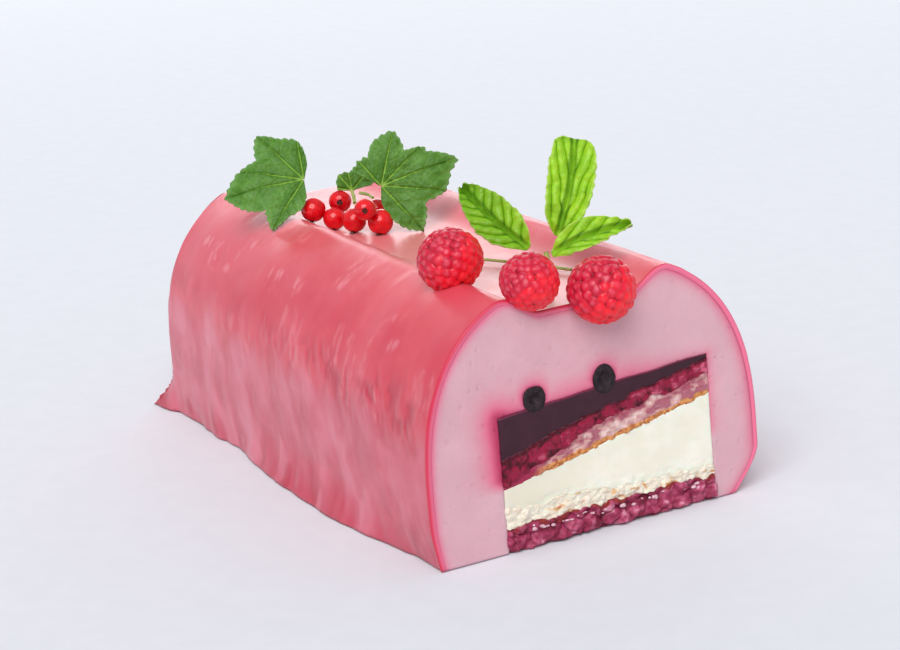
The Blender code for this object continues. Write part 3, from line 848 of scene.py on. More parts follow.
def scattered_grains(name, places, sizes, look, seed):
    """Small rough grains in one mesh, each a low ball pushed out of round."""
    directions, faces = ball_points(2)
    points, quads = [], []
    for k, (place, size) in enumerate(zip(places, sizes)):
        stretch = np.array([0.6, 1.4, 0.8]) * (
            0.7 + 0.6 * hashed(np.array([[k, a] for a in range(3)]), seed))
        rough = 1.0 + 0.45 * noise(directions + 7.1 * k, 0.7, seed + 3, 2)
        first = len(points) * len(directions)
        points.append(directions * rough[:, None] * stretch * size + np.array(place))
        quads += [tuple(first + v for v in face) for face in faces]
    return add_piece(name, np.concatenate(points), quads, look, [])


def sugar_grains(look):
    places, sizes = [], []
    for k in range(30):
        a, b, c = (float(hashed(np.array([k, n]), 901)) for n in range(3))
        y = INSERT_LEFT + 7.0 + (INSERT_RIGHT - INSERT_LEFT - 12.0) * a ** 1.3
        z = float(CRUMBLE_TOP(y)) - 1.2 - 1.3 * b
        places.append((CUT_X + 0.7, y, z))
        sizes.append(0.3 + 0.4 * c * c)
    return scattered_grains("sugar_grains", places, sizes, look, 907)


BERRIES = []
for berry in ("bilberry_left", "bilberry_right"):
    low, high = node_box(berry)
    BERRIES.append(((low[1] + high[1]) / 2, (low[2] + high[2]) / 2, (high[2] - low[2]) / 2))


# The mousse ------------------------------------------------------------------------------

MOUSSE_COLUMNS = 320
MOUSSE_ROWS = 44


def mousse_inner_edge(count):
    """The edge of the insert's channel in the cut face, from the left foot to the right."""
    left_top, right_top = float(JELLY_TOP(INSERT_LEFT)), float(JELLY_TOP(INSERT_RIGHT))
    up = np.linspace(0.0, 1.0, 300)
    y = np.concatenate([np.full(300, INSERT_LEFT),
                        INSERT_LEFT + (INSERT_RIGHT - INSERT_LEFT) * up[1:],
                        np.full(299, INSERT_RIGHT)])
    z = np.concatenate([left_top * up, JELLY_TOP(y[300:599]), right_top * (1.0 - up[1:])])
    shares = np.concatenate([0.30 * up, 0.30 + 0.40 * up[1:], 0.70 + 0.30 * up[1:]])
    even = np.linspace(0.0, 1.0, count)
    return np.interp(even, shares, y), np.interp(even, shares, z)


def mousse_piece(look):
    stations = skin_stations(9, 3, 2, GLAZE_THICKNESS)
    skin = skin_grid(stations, MOUSSE_COLUMNS, GLAZE_THICKNESS, 0.0)
    outer = skin_grid(stations[:1], MOUSSE_COLUMNS, GLAZE_THICKNESS - 0.3, 0.0)[0]
    inner_y, inner_z = mousse_inner_edge(MOUSSE_COLUMNS)
    ragged = 0.22 * noise(np.stack([inner_y, inner_z], -1), 1.8, 301, 3)
    inner_y = inner_y + ragged
    inner_z = np.where(inner_z > 0.6, inner_z + 0.22 * ragged, inner_z)
    share = np.linspace(0.0, 1.0, MOUSSE_ROWS)[:, None]
    y = inner_y * (1.0 - share) + outer[:, 1] * share
    z = inner_z * (1.0 - share) + outer[:, 2] * share
    flat = np.stack([y, z], -1)
    out = 0.1 * noise(flat, 7.0, 311, 3) + 0.05 * noise(flat, 1.2, 313, 2)
    pit, _, number = lumps(flat, 5.0, 317)
    out = out - 0.35 * smoothstep(0.10, 0.04, pit) * (number > 0.45)
    out = out * smoothstep(0.0, 0.06, 1.0 - share) - 0.25 * smoothstep(0.03, 0.0, share)
    out = out - 0.12 * smoothstep(0.95, 1.0, share)

    wobble = noise(flat, 6.0, 321, 3)
    top_z = JELLY_TOP(np.clip(y, INSERT_LEFT, INSERT_RIGHT))
    sideways = np.maximum(np.maximum(INSERT_LEFT - y, y - INSERT_RIGHT), 0.0)
    upright = np.maximum(np.maximum(z - top_z, 17.0 - z), 0.0)
    by_jelly = np.hypot(sideways, upright)
    left_side = smoothstep(-20.0, -30.0, y)
    beside = smoothstep(15.0, 21.0, z)
    above = smoothstep(-5.0, 5.0, z - top_z) * smoothstep(INSERT_RIGHT, 4.0, y)
    reach = 2.4 + 2.4 * left_side + 1.6 * above * (1.0 - left_side) + 1.0 * wobble
    stain = (0.5 + 0.4 * above * (1.0 - left_side) + 0.6 * left_side) * beside
    stain = stain * np.exp(-by_jelly / np.maximum(reach, 1.0))
    for centre_y, centre_z, radius in BERRIES:
        gap = np.maximum(np.hypot(y - centre_y, z - centre_z) - radius, 0.0)
        stain = np.maximum(stain, 0.8 * np.exp(-gap / (2.6 + 0.8 * wobble)))
        out = np.where(np.hypot(y - centre_y, z - centre_z) < radius - 0.3, -2.2, out)
    rim_gap = np.linalg.norm(flat - np.stack([outer[:, 1], outer[:, 2]], -1)[None], axis=-1)
    by_rim = 0.72 * np.exp(-rim_gap / (1.5 + 1.2 * smoothstep(10.0, 45.0, y)))
    stain = np.maximum(stain, by_rim)
    front = np.stack([CUT_X + out, y, z], -1)

    columns = MOUSSE_COLUMNS
    rows = MOUSSE_ROWS
    behind = skin[1:]
    channel = np.stack([np.full(columns, INSERT_END_X), inner_y, inner_z], -1)
    points = np.concatenate([front.reshape(-1, 3), behind.reshape(-1, 3), channel])
    first = rows * columns
    faces = grid_faces(rows, columns) + strip_faces(first, first - columns, columns)
    faces += grid_faces(len(behind), columns, first)
    last = first + (len(behind) - 1) * columns
    faces.append(tuple(range(last, last + columns)))
    tunnel = first + len(behind) * columns
    faces += strip_faces(0, tunnel, columns)
    faces.append(tuple(range(tunnel + columns - 1, tunnel - 1, -1)))
    under = [i * columns for i in range(rows)]
    under += [first + i * columns for i in range(len(behind))]
    under += [first + i * columns + columns - 1 for i in range(len(behind) - 1, -1, -1)]
    under += [i * columns + columns - 1 for i in range(rows - 1, -1, -1)]
    under += [tunnel + columns - 1, tunnel]
    faces.append(tuple(under))
    hidden = np.zeros(len(points) - rows * columns)
    attributes = {"stain": np.concatenate([stain.ravel(), hidden])}
    return add_piece("mousse_body", points, faces, look, ["mousse"],
                     attributes)


# Berries ---------------------------------------------------------------------------------

def bilberry_piece(name, look):
    """A berry halved by the knife: a dark disc a little proud of the cut, with a hollow."""
    (_, centre_y, centre_z), radius = node_ball(name)
    radius *= BILBERRY_SCALE
    tall = 1.16 if centre_y > 0.0 else 1.02
    sides = 72
    profile = [(-radius * math.sin(a), radius * math.cos(a))
               for a in np.radians(np.linspace(80.0, 0.0, 12))]
    profile += [(0.25, radius * 0.98), (0.42, radius * 0.9), (0.46, radius * 0.76),
                (0.4, radius * 0.62), (0.2, radius * 0.5), (-0.05, radius * 0.42),
                (-0.35, radius * 0.34), (-0.6, radius * 0.24), (-0.7, radius * 0.1)]
    turn = np.linspace(0.0, 2.0 * math.pi, sides, endpoint=False)
    rows = []
    for depth, reach in profile:
        around = np.stack([np.cos(turn), np.sin(turn)], -1)
        wobble = 1.0 + 0.07 * noise(around * 3.0 + centre_y, 1.4, 401, 3)
        rough = 0.22 * noise(around * reach + centre_y, 0.9, 403, 3) * (depth > -0.8)
        rows.append(np.stack([CUT_X + depth + rough, centre_y + reach * wobble * np.cos(turn),
                              centre_z + tall * reach * wobble * np.sin(turn)], -1))
    grid = np.array(rows)
    points = np.concatenate([grid.reshape(-1, 3), [[CUT_X - radius, centre_y, centre_z]],
                             [[CUT_X - 0.72, centre_y, centre_z]]])
    faces = grid_faces(len(rows), sides, wrap=True, flip=True)
    back, front = len(points) - 2, len(points) - 1
    for j in range(sides):
        k = (j + 1) % sides
        faces.append((back, j, k))
        a = (len(rows) - 1) * sides
        faces.append((front, a + k, a + j))
    ring = np.repeat([reach / radius for _, reach in profile], sides)
    attributes = {"ring": np.concatenate([ring, [1.0, 0.0]])}
    return add_piece(name + "_half", points, faces, look, [name], attributes)


def ball_points(level):
    """An even ball of unit directions with its triangles."""
    shell = bmesh.new()
    bmesh.ops.create_icosphere(shell, subdivisions=level, radius=1.0)
    points = np.array([v.co[:] for v in shell.verts])
    faces = [tuple(v.index for v in f.verts) for f in shell.faces]
    shell.free()
    return points, faces


def spiral(count):
    """Evenly spread unit directions from the top of a ball to its bottom."""
    k = np.arange(count) + 0.5
    z = 1.0 - 2.0 * k / count
    turn = math.pi * (1.0 + 5.0 ** 0.5) * k
    flat = np.sqrt(np.maximum(0.0, 1.0 - z * z))
    return np.stack([flat * np.cos(turn), flat * np.sin(turn), z], -1)


BALL_FINE = ball_points(6)
BALL_MIDDLE = ball_points(5)


def raspberry_piece(name, look, seed, tilt):
    """A raspberry: close-set round drupelets over a slightly pointed body."""
    centre, radius = node_ball(name)
    radius *= RASPBERRY_SCALE
    directions, faces = BALL_FINE
    count = 150
    seats = spiral(count)
    shake = np.stack([hashed(np.stack([np.arange(count), np.full(count, a)], -1), seed)
                      for a in range(3)], -1) - 0.5
    seats = seats + 0.09 * shake
    seats /= np.linalg.norm(seats, axis=-1, keepdims=True)
    sizes = 0.2 + 0.05 * (hashed(np.arange(count)[:, None], seed + 5) - 0.5)
    angle = np.arccos(np.clip(directions @ seats.T, -1.0, 1.0))
    bulge = np.sqrt(np.maximum(0.0, 1.0 - (angle / sizes) ** 2))
    height = bulge.max(axis=1)
    owner = bulge.argmax(axis=1)
    body = radius * 0.865
    shape = 1.0 - 0.04 * np.abs(directions[:, 2]) + 0.03 * directions[:, 2]
    shape = shape + 0.02 * noise(directions, 0.9, seed + 7, 2)
    reach = body * shape + radius * (0.125 * height + 0.01 * noise(directions, 0.12, seed + 8))
    points = directions * reach[:, None]
    turn = np.array(Matrix.Rotation(math.radians(tilt[0]), 3, "X")
                    @ Matrix.Rotation(math.radians(tilt[1]), 3, "Y"))
    points = points @ turn.T + centre
    shade = hashed(owner[:, None], seed + 9)
    # how far each point faces the underside; the look paints the underside brighter red as painted
    # light against its shade
    underside_share = 0.5 + 0.5 * (directions @ turn.T) @ np.array([0.25, 0.55, -0.80])
    attributes = {"height": height, "shade": shade, "underside_share": underside_share}
    return add_piece(name + "_fruit", points, faces, look, [name],
                     attributes)


def raspberry_look():
    look = Look("raspberry_fruit", IOR=1.4, Coat_Weight=0.15, Coat_Roughness=0.25,
                Specular_IOR_Level=0.4, Subsurface_Weight=0.4, Subsurface_Scale=0.003,
                Subsurface_Radius=(1.0, 0.2, 0.15))
    height = look.attribute("height")
    shade = look.attribute("shade")
    # mauve on the upper side turning to bright red on the underside: the brighter underside is
    # painted light
    underside_share = look.math("ADD", look.attribute("underside_share"), look.span(shade, 0.0, 1.0, -0.12, 0.12))
    colour = look.mix(look.span(underside_share, 0.2, 0.62), linear(196, 26, 58), linear(240, 26, 48))
    colour = look.mix(look.span(underside_share, 0.6, 0.95), colour, linear(252, 46, 52))
    patches = look.span(look.noise(5.0, 3.0), 0.4, 0.7)
    colour = look.over(colour, patches, 0.35, (214, 22, 56))
    # painted shade in the crevices between the drupelets
    colour = look.mix(look.span(height, 0.62, 0.15, 0.0, 0.75), colour, linear(150, 6, 34))
    # pale bloom together with painted highlight dots on the drupelet tops of the upper side
    bloom_and_highlight = look.math("MULTIPLY", look.span(height, 0.86, 1.0),
                      look.span(underside_share, 0.8, 0.2, 0.05, 0.3))
    colour = look.mix(bloom_and_highlight, colour, linear(236, 120, 144))
    return look.finish(colour, 0.32, look.bump(look.noise(0.5, 3.0), 0.05, 0.5))


def currant_piece(name, look, calyx_look, calyx):
    """A currant with faint meridians and the dry tuft of its flower at one end."""
    centre, radius = node_ball(name)
    radius *= CURRANT_SCALE
    directions, faces = BALL_MIDDLE
    points = directions * radius
    axis = Vector(calyx).normalized()
    turn = np.array(axis.to_track_quat("Z", "Y").to_matrix())
    around = np.arctan2(directions[:, 1], directions[:, 0])
    fall = np.arccos(np.clip(directions[:, 2], -1.0, 1.0))
    veins = np.cos(around * 11.0) ** 8 * np.sin(fall)
    dent = np.exp(-(fall / 0.28) ** 2)
    points = points * (1.0 - 0.06 * dent)[:, None]
    tuft_points, tuft_faces = [], []
    first = len(points)
    petals = 7
    for k in range(petals):
        lean = 2.0 * math.pi * k / petals + 0.4 * (hashed(np.array([[k]]), 505)[0] - 0.5)
        side = np.array([-math.sin(lean), math.cos(lean), 0.0])
        out = np.array([math.cos(lean), math.sin(lean), 0.0])
        root = np.array([0.0, 0.0, radius * 0.93]) + out * radius * 0.10
        mid = root + out * radius * 0.16 + np.array([0.0, 0.0, radius * 0.13])
        tip = root + out * radius * (0.06 + 0.1 * (k % 2)) + np.array([0.0, 0.0, radius * 0.34])
        width = radius * 0.07
        base = first + len(tuft_points)
        tuft_points += [root - side * width, root + side * width, mid + side * width,
                        mid - side * width, tip, root - out * 0.1, mid - out * 0.12]
        tuft_faces += [(base, base + 1, base + 2, base + 3), (base + 3, base + 2, base + 4),
                       (base + 1, base, base + 5), (base, base + 3, base + 6, base + 5),
                       (base + 2, base + 1, base + 5, base + 6),
                       (base + 3, base + 4, base + 6), (base + 4, base + 2, base + 6)]
    points = np.concatenate([points, np.array(tuft_points)])
    points = points @ turn.T + centre
    attributes = {"vein": np.concatenate([veins, np.zeros(len(tuft_points))]),
                  "pole": np.concatenate([dent, np.ones(len(tuft_points))])}
    piece = add_piece(name + "_fruit", points, faces + tuft_faces, [look, calyx_look], [name],
                      attributes)
    material_index = [0] * len(faces) + [1] * len(tuft_faces)
    piece.data.polygons.foreach_set("material_index", material_index)
    return piece


def currant_look():
    look = Look("redcurrant_fruit", IOR=1.42, Coat_Weight=0.5, Coat_Roughness=0.06,
                Specular_IOR_Level=0.35, Subsurface_Weight=0.4, Subsurface_Scale=0.004,
                Subsurface_Radius=(1.0, 0.1, 0.08))
    veins = look.attribute("vein")
    colour = look.mix(look.span(look.noise(2.2, 2.0), 0.35, 0.65), linear(204, 2, 22),
                      linear(228, 8, 26))
    colour = look.over(colour, veins, 0.15, (238, 70, 64))
    colour = look.mix(look.span(look.attribute("pole"), 0.2, 0.9), colour, linear(140, 20, 24))
    return look.finish(colour, 0.2)


# Leaves and stems ------------------------------------------------------------------------

def leaf_frame(base, along, facing):
    """A leaf's axes as a matrix: along the leaf, across it and off its face; and its base."""
    x_axis = Vector(along).normalized()
    z_axis = Vector(facing)
    z_axis = (z_axis - x_axis * z_axis.dot(x_axis)).normalized()
    y_axis = z_axis.cross(x_axis)
    return np.array(Matrix((x_axis, y_axis, z_axis)).transposed()), np.array(base)


def sheet_piece(name, grid, look, node, attributes):
    """A leaf as a thin closed mesh: a face, a back and the edge between them."""
    rows, columns = grid.shape[:2]
    normal = grid_normals(grid)
    top = grid + normal * LEAF_THICKNESS / 2
    low = grid - normal * LEAF_THICKNESS / 2
    points = np.concatenate([top.reshape(-1, 3), low.reshape(-1, 3)])
    shift = rows * columns
    faces = grid_faces(rows, columns) + grid_faces(rows, columns, shift, flip=True)
    border = grid_border(rows, columns)
    faces += band_faces(border, [shift + a for a in border])
    doubled = {key: np.concatenate([v.ravel(), v.ravel()]) for key, v in attributes.items()}
    return add_piece(name, points, faces, look, [node], doubled)


# base, direction, facing, outline as (angle in degrees, reach), angles of the main veins
CURRANT_LEAVES = {
    "currant_leaf_left": (
        (-31.7, -18.9, 78.3), (-0.36, -0.93, -0.10), (0.77, -0.36, 0.53),
        ((-115, 4), (-92, 12.4), (-70, 15), (-56, 20.5), (-34, 15.5), (-20, 20), (0, 24.4),
         (17, 19.5), (29, 15), (40, 17), (48, 18.6), (58, 13), (78, 9.2), (88, 5.6)),
        (-92, -56, -20, 0, 48)),
    "currant_leaf_right": (
        (-11.2, -3.0, 76.5), (0.30, 0.92, 0.25), (0.82, -0.38, 0.42),
        ((-112, 4.2), (-94, 10.6), (-83, 14.4), (-69, 18.4), (-42, 14), (-26, 19), (-9, 21),
         (0, 24.4), (16, 17.3), (24, 17), (35, 12.4), (57, 17.2), (80, 13.3), (93, 9.5),
         (111, 10), (133, 9.6)),
        (-69, -26, 0, 24, 57, 111)),
    "currant_leaf_small": (
        (-26.0, -6.0, 73.4), (-0.50, -0.43, 0.75), (0.85, -0.40, 0.34),
        ((-118, 6.2), (-81, 9.5), (-36, 5.4), (0, 6.2), (47, 4.2)),
        (-81, -30, 0, 40)),
}

# base, direction, facing, length, half width, slope of the side veins, width along the leaf
MINT_LEAVES = {
    "mint_leaf_left": (
        (77.2, -2.2, 72.9), (-0.66, -0.39, 0.65), (0.75, -0.43, 0.50), 25.5, 6.0, 0.9,
        ((0.0, 0.15), (0.12, 0.62), (0.3, 0.95), (0.5, 1.0), (0.7, 0.84), (0.85, 0.58),
         (0.95, 0.3), (1.0, 0.1))),
    "mint_leaf_upright": (
        (78.4, 6.2, 74.8), (-0.11, 0.35, 0.93), (0.87, -0.41, 0.26), 26.5, 6.3, 3.4,
        ((0.0, 0.12), (0.08, 0.45), (0.2, 0.8), (0.45, 1.0), (0.75, 1.0), (0.9, 0.92),
         (0.97, 0.78), (1.0, 0.5))),
    "mint_leaf_right": (
        (82.4, 2.0, 71.3), (0.28, 0.92, 0.26), (0.66, -0.38, 0.64), 23.0, 4.4, 1.7,
        ((0.0, 0.2), (0.15, 0.72), (0.35, 1.0), (0.6, 0.92), (0.8, 0.6), (0.93, 0.3),
         (1.0, 0.08))),
}


def vein_field(x, y, angles, width):
    """How close each point is to a vein fanning out from the base, and to its side veins."""
    main = np.zeros_like(x)
    side = np.zeros_like(x)
    for angle in angles:
        turn = math.radians(angle)
        along = x * math.cos(turn) + y * math.sin(turn)
        away = np.abs(-x * math.sin(turn) + y * math.cos(turn))
        taper = width * np.clip(1.25 - along / 26.0, 0.35, 1.0)
        main = np.maximum(main, np.exp(-(away / taper) ** 2) * (along > 0.0))
        chevron = (along - 0.8 * away) / 3.4
        gap = np.abs(chevron - np.round(chevron)) * 3.4
        near = np.exp(-(away / 5.0) ** 2) * (along > 1.5)
        side = np.maximum(side, np.exp(-(gap / 0.28) ** 2) * near * 0.6)
    return main, side


def currant_leaf_piece(name, look):
    base, along, facing, lobes, veins = CURRANT_LEAVES[name]
    turn, origin = leaf_frame(base, along, facing)
    angles = np.array([a for a, _ in lobes], dtype=np.float64)
    reaches = np.array([r for _, r in lobes], dtype=np.float64)
    columns, rows = 420, 56
    angle = np.linspace(angles[0], angles[-1], columns)
    reach = np.interp(angle, angles, reaches)
    arc = np.concatenate([[0.0], np.cumsum(np.hypot(np.diff(reach * np.cos(np.radians(angle))),
                                                    np.diff(reach * np.sin(np.radians(angle)))))])
    tooth = 2.3
    beat = arc / tooth + 0.3 * noise(arc[:, None], 6.0, 611)
    saw = 1.0 - np.abs(beat % 1.0 - 0.4) / 0.6
    size = 0.75 + 0.35 * noise(arc[:, None], 3.0, 613)
    reach = reach + size * (saw - 0.5) * np.minimum(reach / 8.0, 1.0)
    share = np.linspace(0.02, 1.0, rows)[:, None]
    x = share * reach * np.cos(np.radians(angle))
    y = share * reach * np.sin(np.radians(angle))
    main, side = vein_field(x, y, veins, 0.4)
    flat = np.stack([x, y], -1)
    radius = np.hypot(x, y)
    lift = 0.9 * np.sin(np.clip(radius / 14.0, 0.0, 1.6))
    lift = lift - 0.055 * np.maximum(radius - 10, 0) ** 1.6
    lift = lift + 0.7 * noise(flat, 7.0, 601, 2) * smoothstep(2.0, 8.0, radius)
    lift = lift - 0.55 * main - 0.4 * side + 0.3 * noise(flat, 1.8, 607, 2)
    local = np.stack([x, y, lift], -1)
    grid = local @ turn.T + origin
    # a band along the veins that the look paints darker: painted shade in the sunken veins
    hollow = np.maximum(vein_field(x, y, veins, 1.7)[0], 0.6 * side)
    attributes = {"vein": main, "side_vein": side, "hollow": hollow,
                  "edge": np.broadcast_to(smoothstep(0.9, 1.0, share), x.shape).copy()}
    return sheet_piece(name + "_blade", grid, look, name, attributes)


def currant_leaf_look():
    look = Look("currant_leaf", IOR=1.4, Specular_IOR_Level=0.35, Subsurface_Weight=0.08,
                Subsurface_Scale=0.001)
    patches = look.span(look.noise(5.0, 4.0), 0.3, 0.7)
    colour = look.mix(patches, linear(68, 118, 28), linear(96, 146, 58))
    fine = look.span(look.noise(0.9, 3.0), 0.35, 0.65)
    colour = look.over(colour, fine, 0.35, (58, 104, 26))
    # painted shade in the sunken bands along the veins
    colour = look.over(colour, look.attribute("hollow"), 0.5, (54, 100, 14))
    colour = look.over(colour, look.attribute("side_vein"), 0.6, (120, 166, 74))
    colour = look.mix(look.span(look.attribute("vein"), 0.25, 0.75, 0.0, 0.95), colour,
                      linear(144, 186, 80))
    colour = look.over(colour, look.attribute("edge"), 0.4, (124, 170, 98))
    return look.finish(colour, 0.45, look.bump(look.noise(0.7, 3.0), 0.12, 0.6))


def mint_leaf_piece(name, look, seed):
    base, along, facing, length, half_width, slope, widths = MINT_LEAVES[name]
    turn, origin = leaf_frame(base, along, facing)
    rows, columns = 140, 100
    line = np.linspace(0.0, 1.0, rows)
    outline = softened(np.interp(line, [a for a, _ in widths], [b for _, b in widths]), 10)
    share = line[:, None]
    side = np.linspace(-1.0, 1.0, columns)[None, :]
    saw = np.abs((share * length / 2.6) % 1.0 - 0.65) / 0.65
    margin = np.stack(np.broadcast_arrays(share * length, 5.0 * np.sign(side)), -1)
    ragged = 0.25 * noise(margin, 3.0, seed + 7, 2)
    reach = half_width * outline[:, None] + (0.3 * (0.5 - saw) + ragged) * smoothstep(
        0.1, 0.35, share)
    bend = 0.9 * np.sin(math.pi * share) * (1.0 if seed % 2 else -1.0)
    x = length * share + 0.0 * side
    y = reach * side + bend
    away = np.abs(y - bend)
    flat = np.stack([x, y], -1)
    spacing = 3.3 * math.hypot(1.0, slope) / 1.25
    jog = 0.5 * np.sign(side) + 0.38 * noise(flat, 5.0, seed + 3, 2)
    chevron = (x - slope * away ** 1.08) / spacing + jog
    pillow = np.abs(np.sin(math.pi * chevron)) ** 0.7
    flank = smoothstep(0.0, 1.2, away) * smoothstep(0.02, 0.12, share)
    groove_shade = (1.0 - pillow) ** 1.4 * flank * (0.65 + 0.5 * noise(flat, 3.0, seed + 9))
    midrib = np.exp(-(away / 0.45) ** 2)
    lift = 1.7 * np.abs(side) ** 1.4 * np.minimum(share * 4.0, 1.0)
    lift = lift - 2.4 * share ** 3 + 0.95 * pillow * flank - 0.5 * midrib
    lift = lift + 0.6 * noise(flat, 4.0, seed, 2) + 0.18 * noise(flat, 1.2, seed + 5, 2)
    local = np.stack([x, y, lift], -1)
    grid = local @ turn.T + origin
    # painted shade in the sunken grooves, and painted highlight on the raised pillows
    attributes = {"groove_shade": np.clip(groove_shade + 0.6 * np.exp(-((away - 0.9) / 0.5) ** 2), 0, 1),
                  "midrib": midrib, "pillow": pillow * flank,
                  "edge": np.broadcast_to(smoothstep(0.86, 1.0, np.abs(side)), x.shape).copy()}
    return sheet_piece(name + "_blade", grid, look, name, attributes)


def mint_leaf_look():
    look = Look("mint_leaf", IOR=1.4, Specular_IOR_Level=0.45, Subsurface_Weight=0.2,
                Subsurface_Scale=0.001)
    patches = look.span(look.noise(5.0, 3.0), 0.3, 0.7)
    colour = look.mix(patches, linear(114, 176, 10), linear(156, 208, 28))
    # painted highlight on the raised pillows
    colour = look.over(colour, look.attribute("pillow"), 0.5, (164, 214, 58))
    # painted shade in the grooves and beside the midrib
    colour = look.mix(look.span(look.attribute("groove_shade"), 0.15, 0.95, 0.0, 0.85), colour,
                      linear(56, 116, 6))
    colour = look.over(colour, look.attribute("midrib"), 0.7, (150, 198, 70))
    colour = look.over(colour, look.attribute("edge"), 0.5, (184, 220, 104))
    left = look.span(look.axis("Y"), 2.0, -10.0, 0.0, 0.45)
    colour = look.mix(left, colour, linear(70, 128, 8))
    return look.finish(colour, 0.38, look.bump(look.noise(0.6, 3.0), 0.12, 0.6))


def stem_piece(name, look, path, radius):
    """A thin stem swept along a smooth path, a little knobbly."""
    knots = np.array(path, dtype=np.float64)
    share = np.linspace(0.0, len(knots) - 1.0, 28)
    line = np.stack([np.interp(share, range(len(knots)), knots[:, a]) for a in range(3)], -1)
    line = softened(line, 6)
    ahead = np.gradient(line, axis=0)
    ahead /= np.linalg.norm(ahead, axis=-1, keepdims=True)
    side = np.cross(ahead, np.array([0.0, 0.3, 1.0]))
    side /= np.linalg.norm(side, axis=-1, keepdims=True)
    up = np.cross(side, ahead)
    sides = 14
    around = np.linspace(0.0, 2.0 * math.pi, sides, endpoint=False)
    thick = radius * (1.0 + 0.18 * noise(line, 2.5, 701, 2))
    grid = (line[:, None, :] + thick[:, None, None]
            * (np.cos(around)[None, :, None] * side[:, None, :]
               + np.sin(around)[None, :, None] * up[:, None, :]))
    points = grid.reshape(-1, 3)
    faces = grid_faces(len(line), sides, wrap=True)
    faces.append(tuple(range(sides)))
    faces.append(tuple(range(len(points) - 1, len(points) - 1 - sides, -1)))
    return add_piece(name + "_stem", points, faces, look, [name])


STEMS = {
    "currant_stalk": (((-27.4, -5.6, 73.6), (-24.0, -6.6, 72.0), (-20.6, -8.0, 70.6)), 0.55),
    "currant_side_stalk": (((-22.8, -5.0, 72.9), (-18.6, -4.4, 73.0), (-14.4, -4.6, 72.6)), 0.45),
    "mint_stem": (((80.0, 1.0, 63.8), (80.3, 1.6, 67.0), (79.2, 2.0, 71.4)), 0.8),
    "twig": (((41.0, -3.0, 63.8), (58.0, 4.0, 64.2), (75.0, 11.5, 63.8)), 0.45),
}


# Putting the cake together ---------------------------------------------------------------

glaze_piece(glaze_look())
mousse_piece(mousse_look())
layer_piece("crumble_base", FLOOR, CRUMBLE_TOP, crumble_shape, crumble_look(),
            260, 44)
sugar_grains(plain_look("sugar_grain", (210, 158, 176), (230, 200, 208), 0.6, 0.35))
layer_piece("crisp", CRUMBLE_TOP, CRISP_TOP, crisp_shape, crisp_look(), 260, 30)
layer_piece("cream", CRISP_TOP, CREAM_TOP, cream_shape, cream_look(), 200, 60)
layer_piece("sponge", CREAM_TOP, SPONGE_TOP, sponge_shape, sponge_look(),
            280, 34)
layer_piece("compote", SPONGE_TOP, COMPOTE_TOP, compote_shape, compote_look(),
            260, 30)
layer_piece("jelly", COMPOTE_TOP, JELLY_TOP, jelly_shape, jelly_look(), 240, 44)

dark_berry = plain_look("dark_berry", (22, 14, 20), (52, 36, 44), 1.0, 0.6, 0.3,
                        Specular_IOR_Level=0.3)
for berry in ("bilberry_left", "bilberry_right"):
    bilberry_piece(berry, dark_berry)

fruit = raspberry_look()
raspberry_piece("raspberry_back", fruit, 21, (12.0, -18.0))
raspberry_piece("raspberry_middle", fruit, 35, (-20.0, 14.0))
raspberry_piece("raspberry_front", fruit, 49, (16.0, 24.0))

currant = currant_look()
tuft = plain_look("dry_calyx", (74, 48, 36), (112, 78, 56), 0.6, 0.7)
DOWN = (0.25, -0.35, -0.9)
TOWARDS = (0.88, -0.42, 0.1)
for number, calyx in enumerate((DOWN, TOWARDS, DOWN, DOWN, TOWARDS, DOWN, DOWN), start=1):
    currant_piece("currant_%d" % number, currant, tuft, calyx)

green = currant_leaf_look()
for leaf in CURRANT_LEAVES:
    currant_leaf_piece(leaf, green)
mint = mint_leaf_look()
for seed, leaf in enumerate(MINT_LEAVES, start=801):
    mint_leaf_piece(leaf, mint, seed)
stalk = plain_look("green_stem", (150, 168, 84), (176, 190, 112), 2.0, 0.5)
for stem, (path, radius) in STEMS.items():
    stem_piece(stem, stalk, path, radius)


# Floor, lights and camera ----------------------------------------------------------------

def add_floor():
    mesh = bpy.data.meshes.new("floor")
    size, below = 6.0, -0.0004
    corners = [(x * size, y * size, below) for x, y in ((-1, -1), (1, -1), (1, 1), (-1, 1))]
    mesh.from_pydata(corners, [], [(0, 1, 2, 3)])
    look = Look("pale_floor", Roughness=0.7, Specular_IOR_Level=0.0)
    grain = look.span(look.noise(9.0, 3.0), 0.3, 0.7)
    colour = look.mix(grain, linear(220, 223, 229), linear(222, 225, 231))
    mesh.materials.append(look.finish(colour))
    floor = bpy.data.objects.new("floor", mesh)
    bpy.context.scene.collection.objects.link(floor)


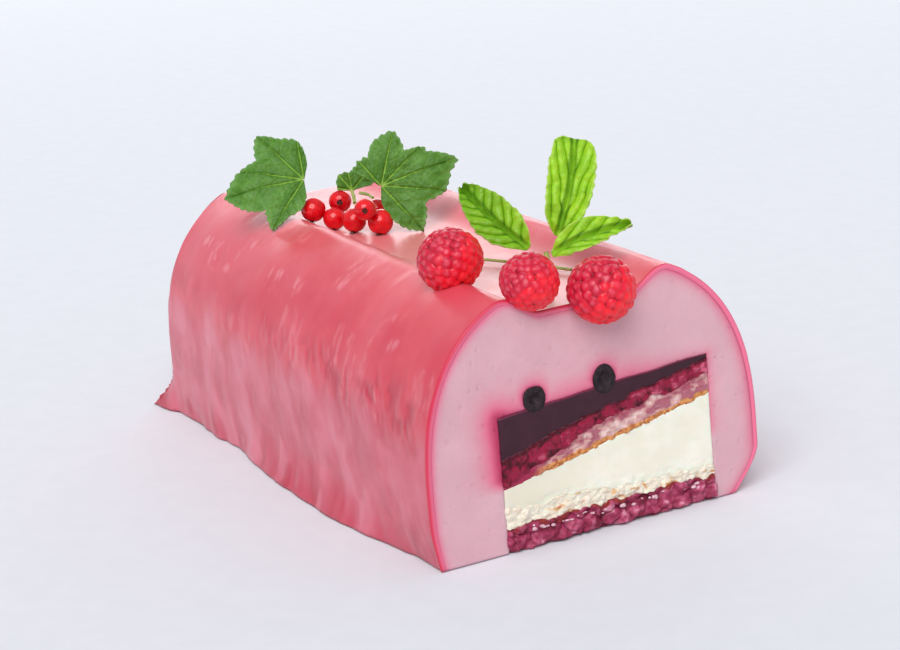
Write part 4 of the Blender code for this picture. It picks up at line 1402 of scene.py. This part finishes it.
def add_softbox(name, place, target, width, height, power):
    lamp = bpy.data.lights.new(name, "AREA")
    lamp.shape = "RECTANGLE"
    lamp.size = width
    lamp.size_y = height
    lamp.energy = power
    box = bpy.data.objects.new(name, lamp)
    box.location = place
    box.rotation_mode = "QUATERNION"
    box.rotation_quaternion = (Vector(target) - Vector(place)).to_track_quat("-Z", "Y")
    box.visible_camera = False
    bpy.context.scene.collection.objects.link(box)


def add_sun(name, direction, strength, spread):
    lamp = bpy.data.lights.new(name, "SUN")
    lamp.energy = strength
    lamp.angle = spread
    sun = bpy.data.objects.new(name, lamp)
    sun.rotation_mode = "QUATERNION"
    sun.rotation_quaternion = Vector(direction).to_track_quat("Z", "Y")
    bpy.context.scene.collection.objects.link(sun)


def add_lights():
    world = bpy.data.worlds.new("studio")
    bpy.context.scene.world = world
    world.use_nodes = True
    background = world.node_tree.nodes["Background"]
    background.inputs["Color"].default_value = (0.50, 0.50, 0.52, 1.0)
    background.inputs["Strength"].default_value = 1.0
    add_sun("key", (0.58, -0.42, 0.75), 2.3, 0.8)
    add_softbox("back", (-2.6, 1.25, 0.86), (0.0, 0.0, 0.04), 3.0, 1.5, 30.0)


def add_camera():
    camera = bpy.data.objects.new("camera", bpy.data.cameras.new("camera"))
    azimuth, elevation, roll = (math.radians(a) for a in
                                (CAMERA_AZIMUTH, CAMERA_ELEVATION, CAMERA_ROLL))
    back = Vector((math.sin(azimuth) * math.cos(elevation),
                   -math.cos(azimuth) * math.cos(elevation), math.sin(elevation)))
    right = Vector((math.cos(azimuth), math.sin(azimuth), 0.0))
    up = back.cross(right)
    turned_right = math.cos(roll) * right + math.sin(roll) * up
    turned_up = -math.sin(roll) * right + math.cos(roll) * up
    turn = Matrix((turned_right, turned_up, back)).transposed().to_4x4()
    camera.matrix_world = Matrix.Translation(CAMERA_PLACE) @ turn
    camera.data.lens = CAMERA_LENS
    camera.data.sensor_width = 36.0
    camera.data.clip_start = 0.01
    camera.data.clip_end = 50.0
    bpy.context.scene.collection.objects.link(camera)
    bpy.context.scene.camera = camera


add_floor()
add_lights()
add_camera()
bpy.context.scene.view_settings.view_transform = "Standard"
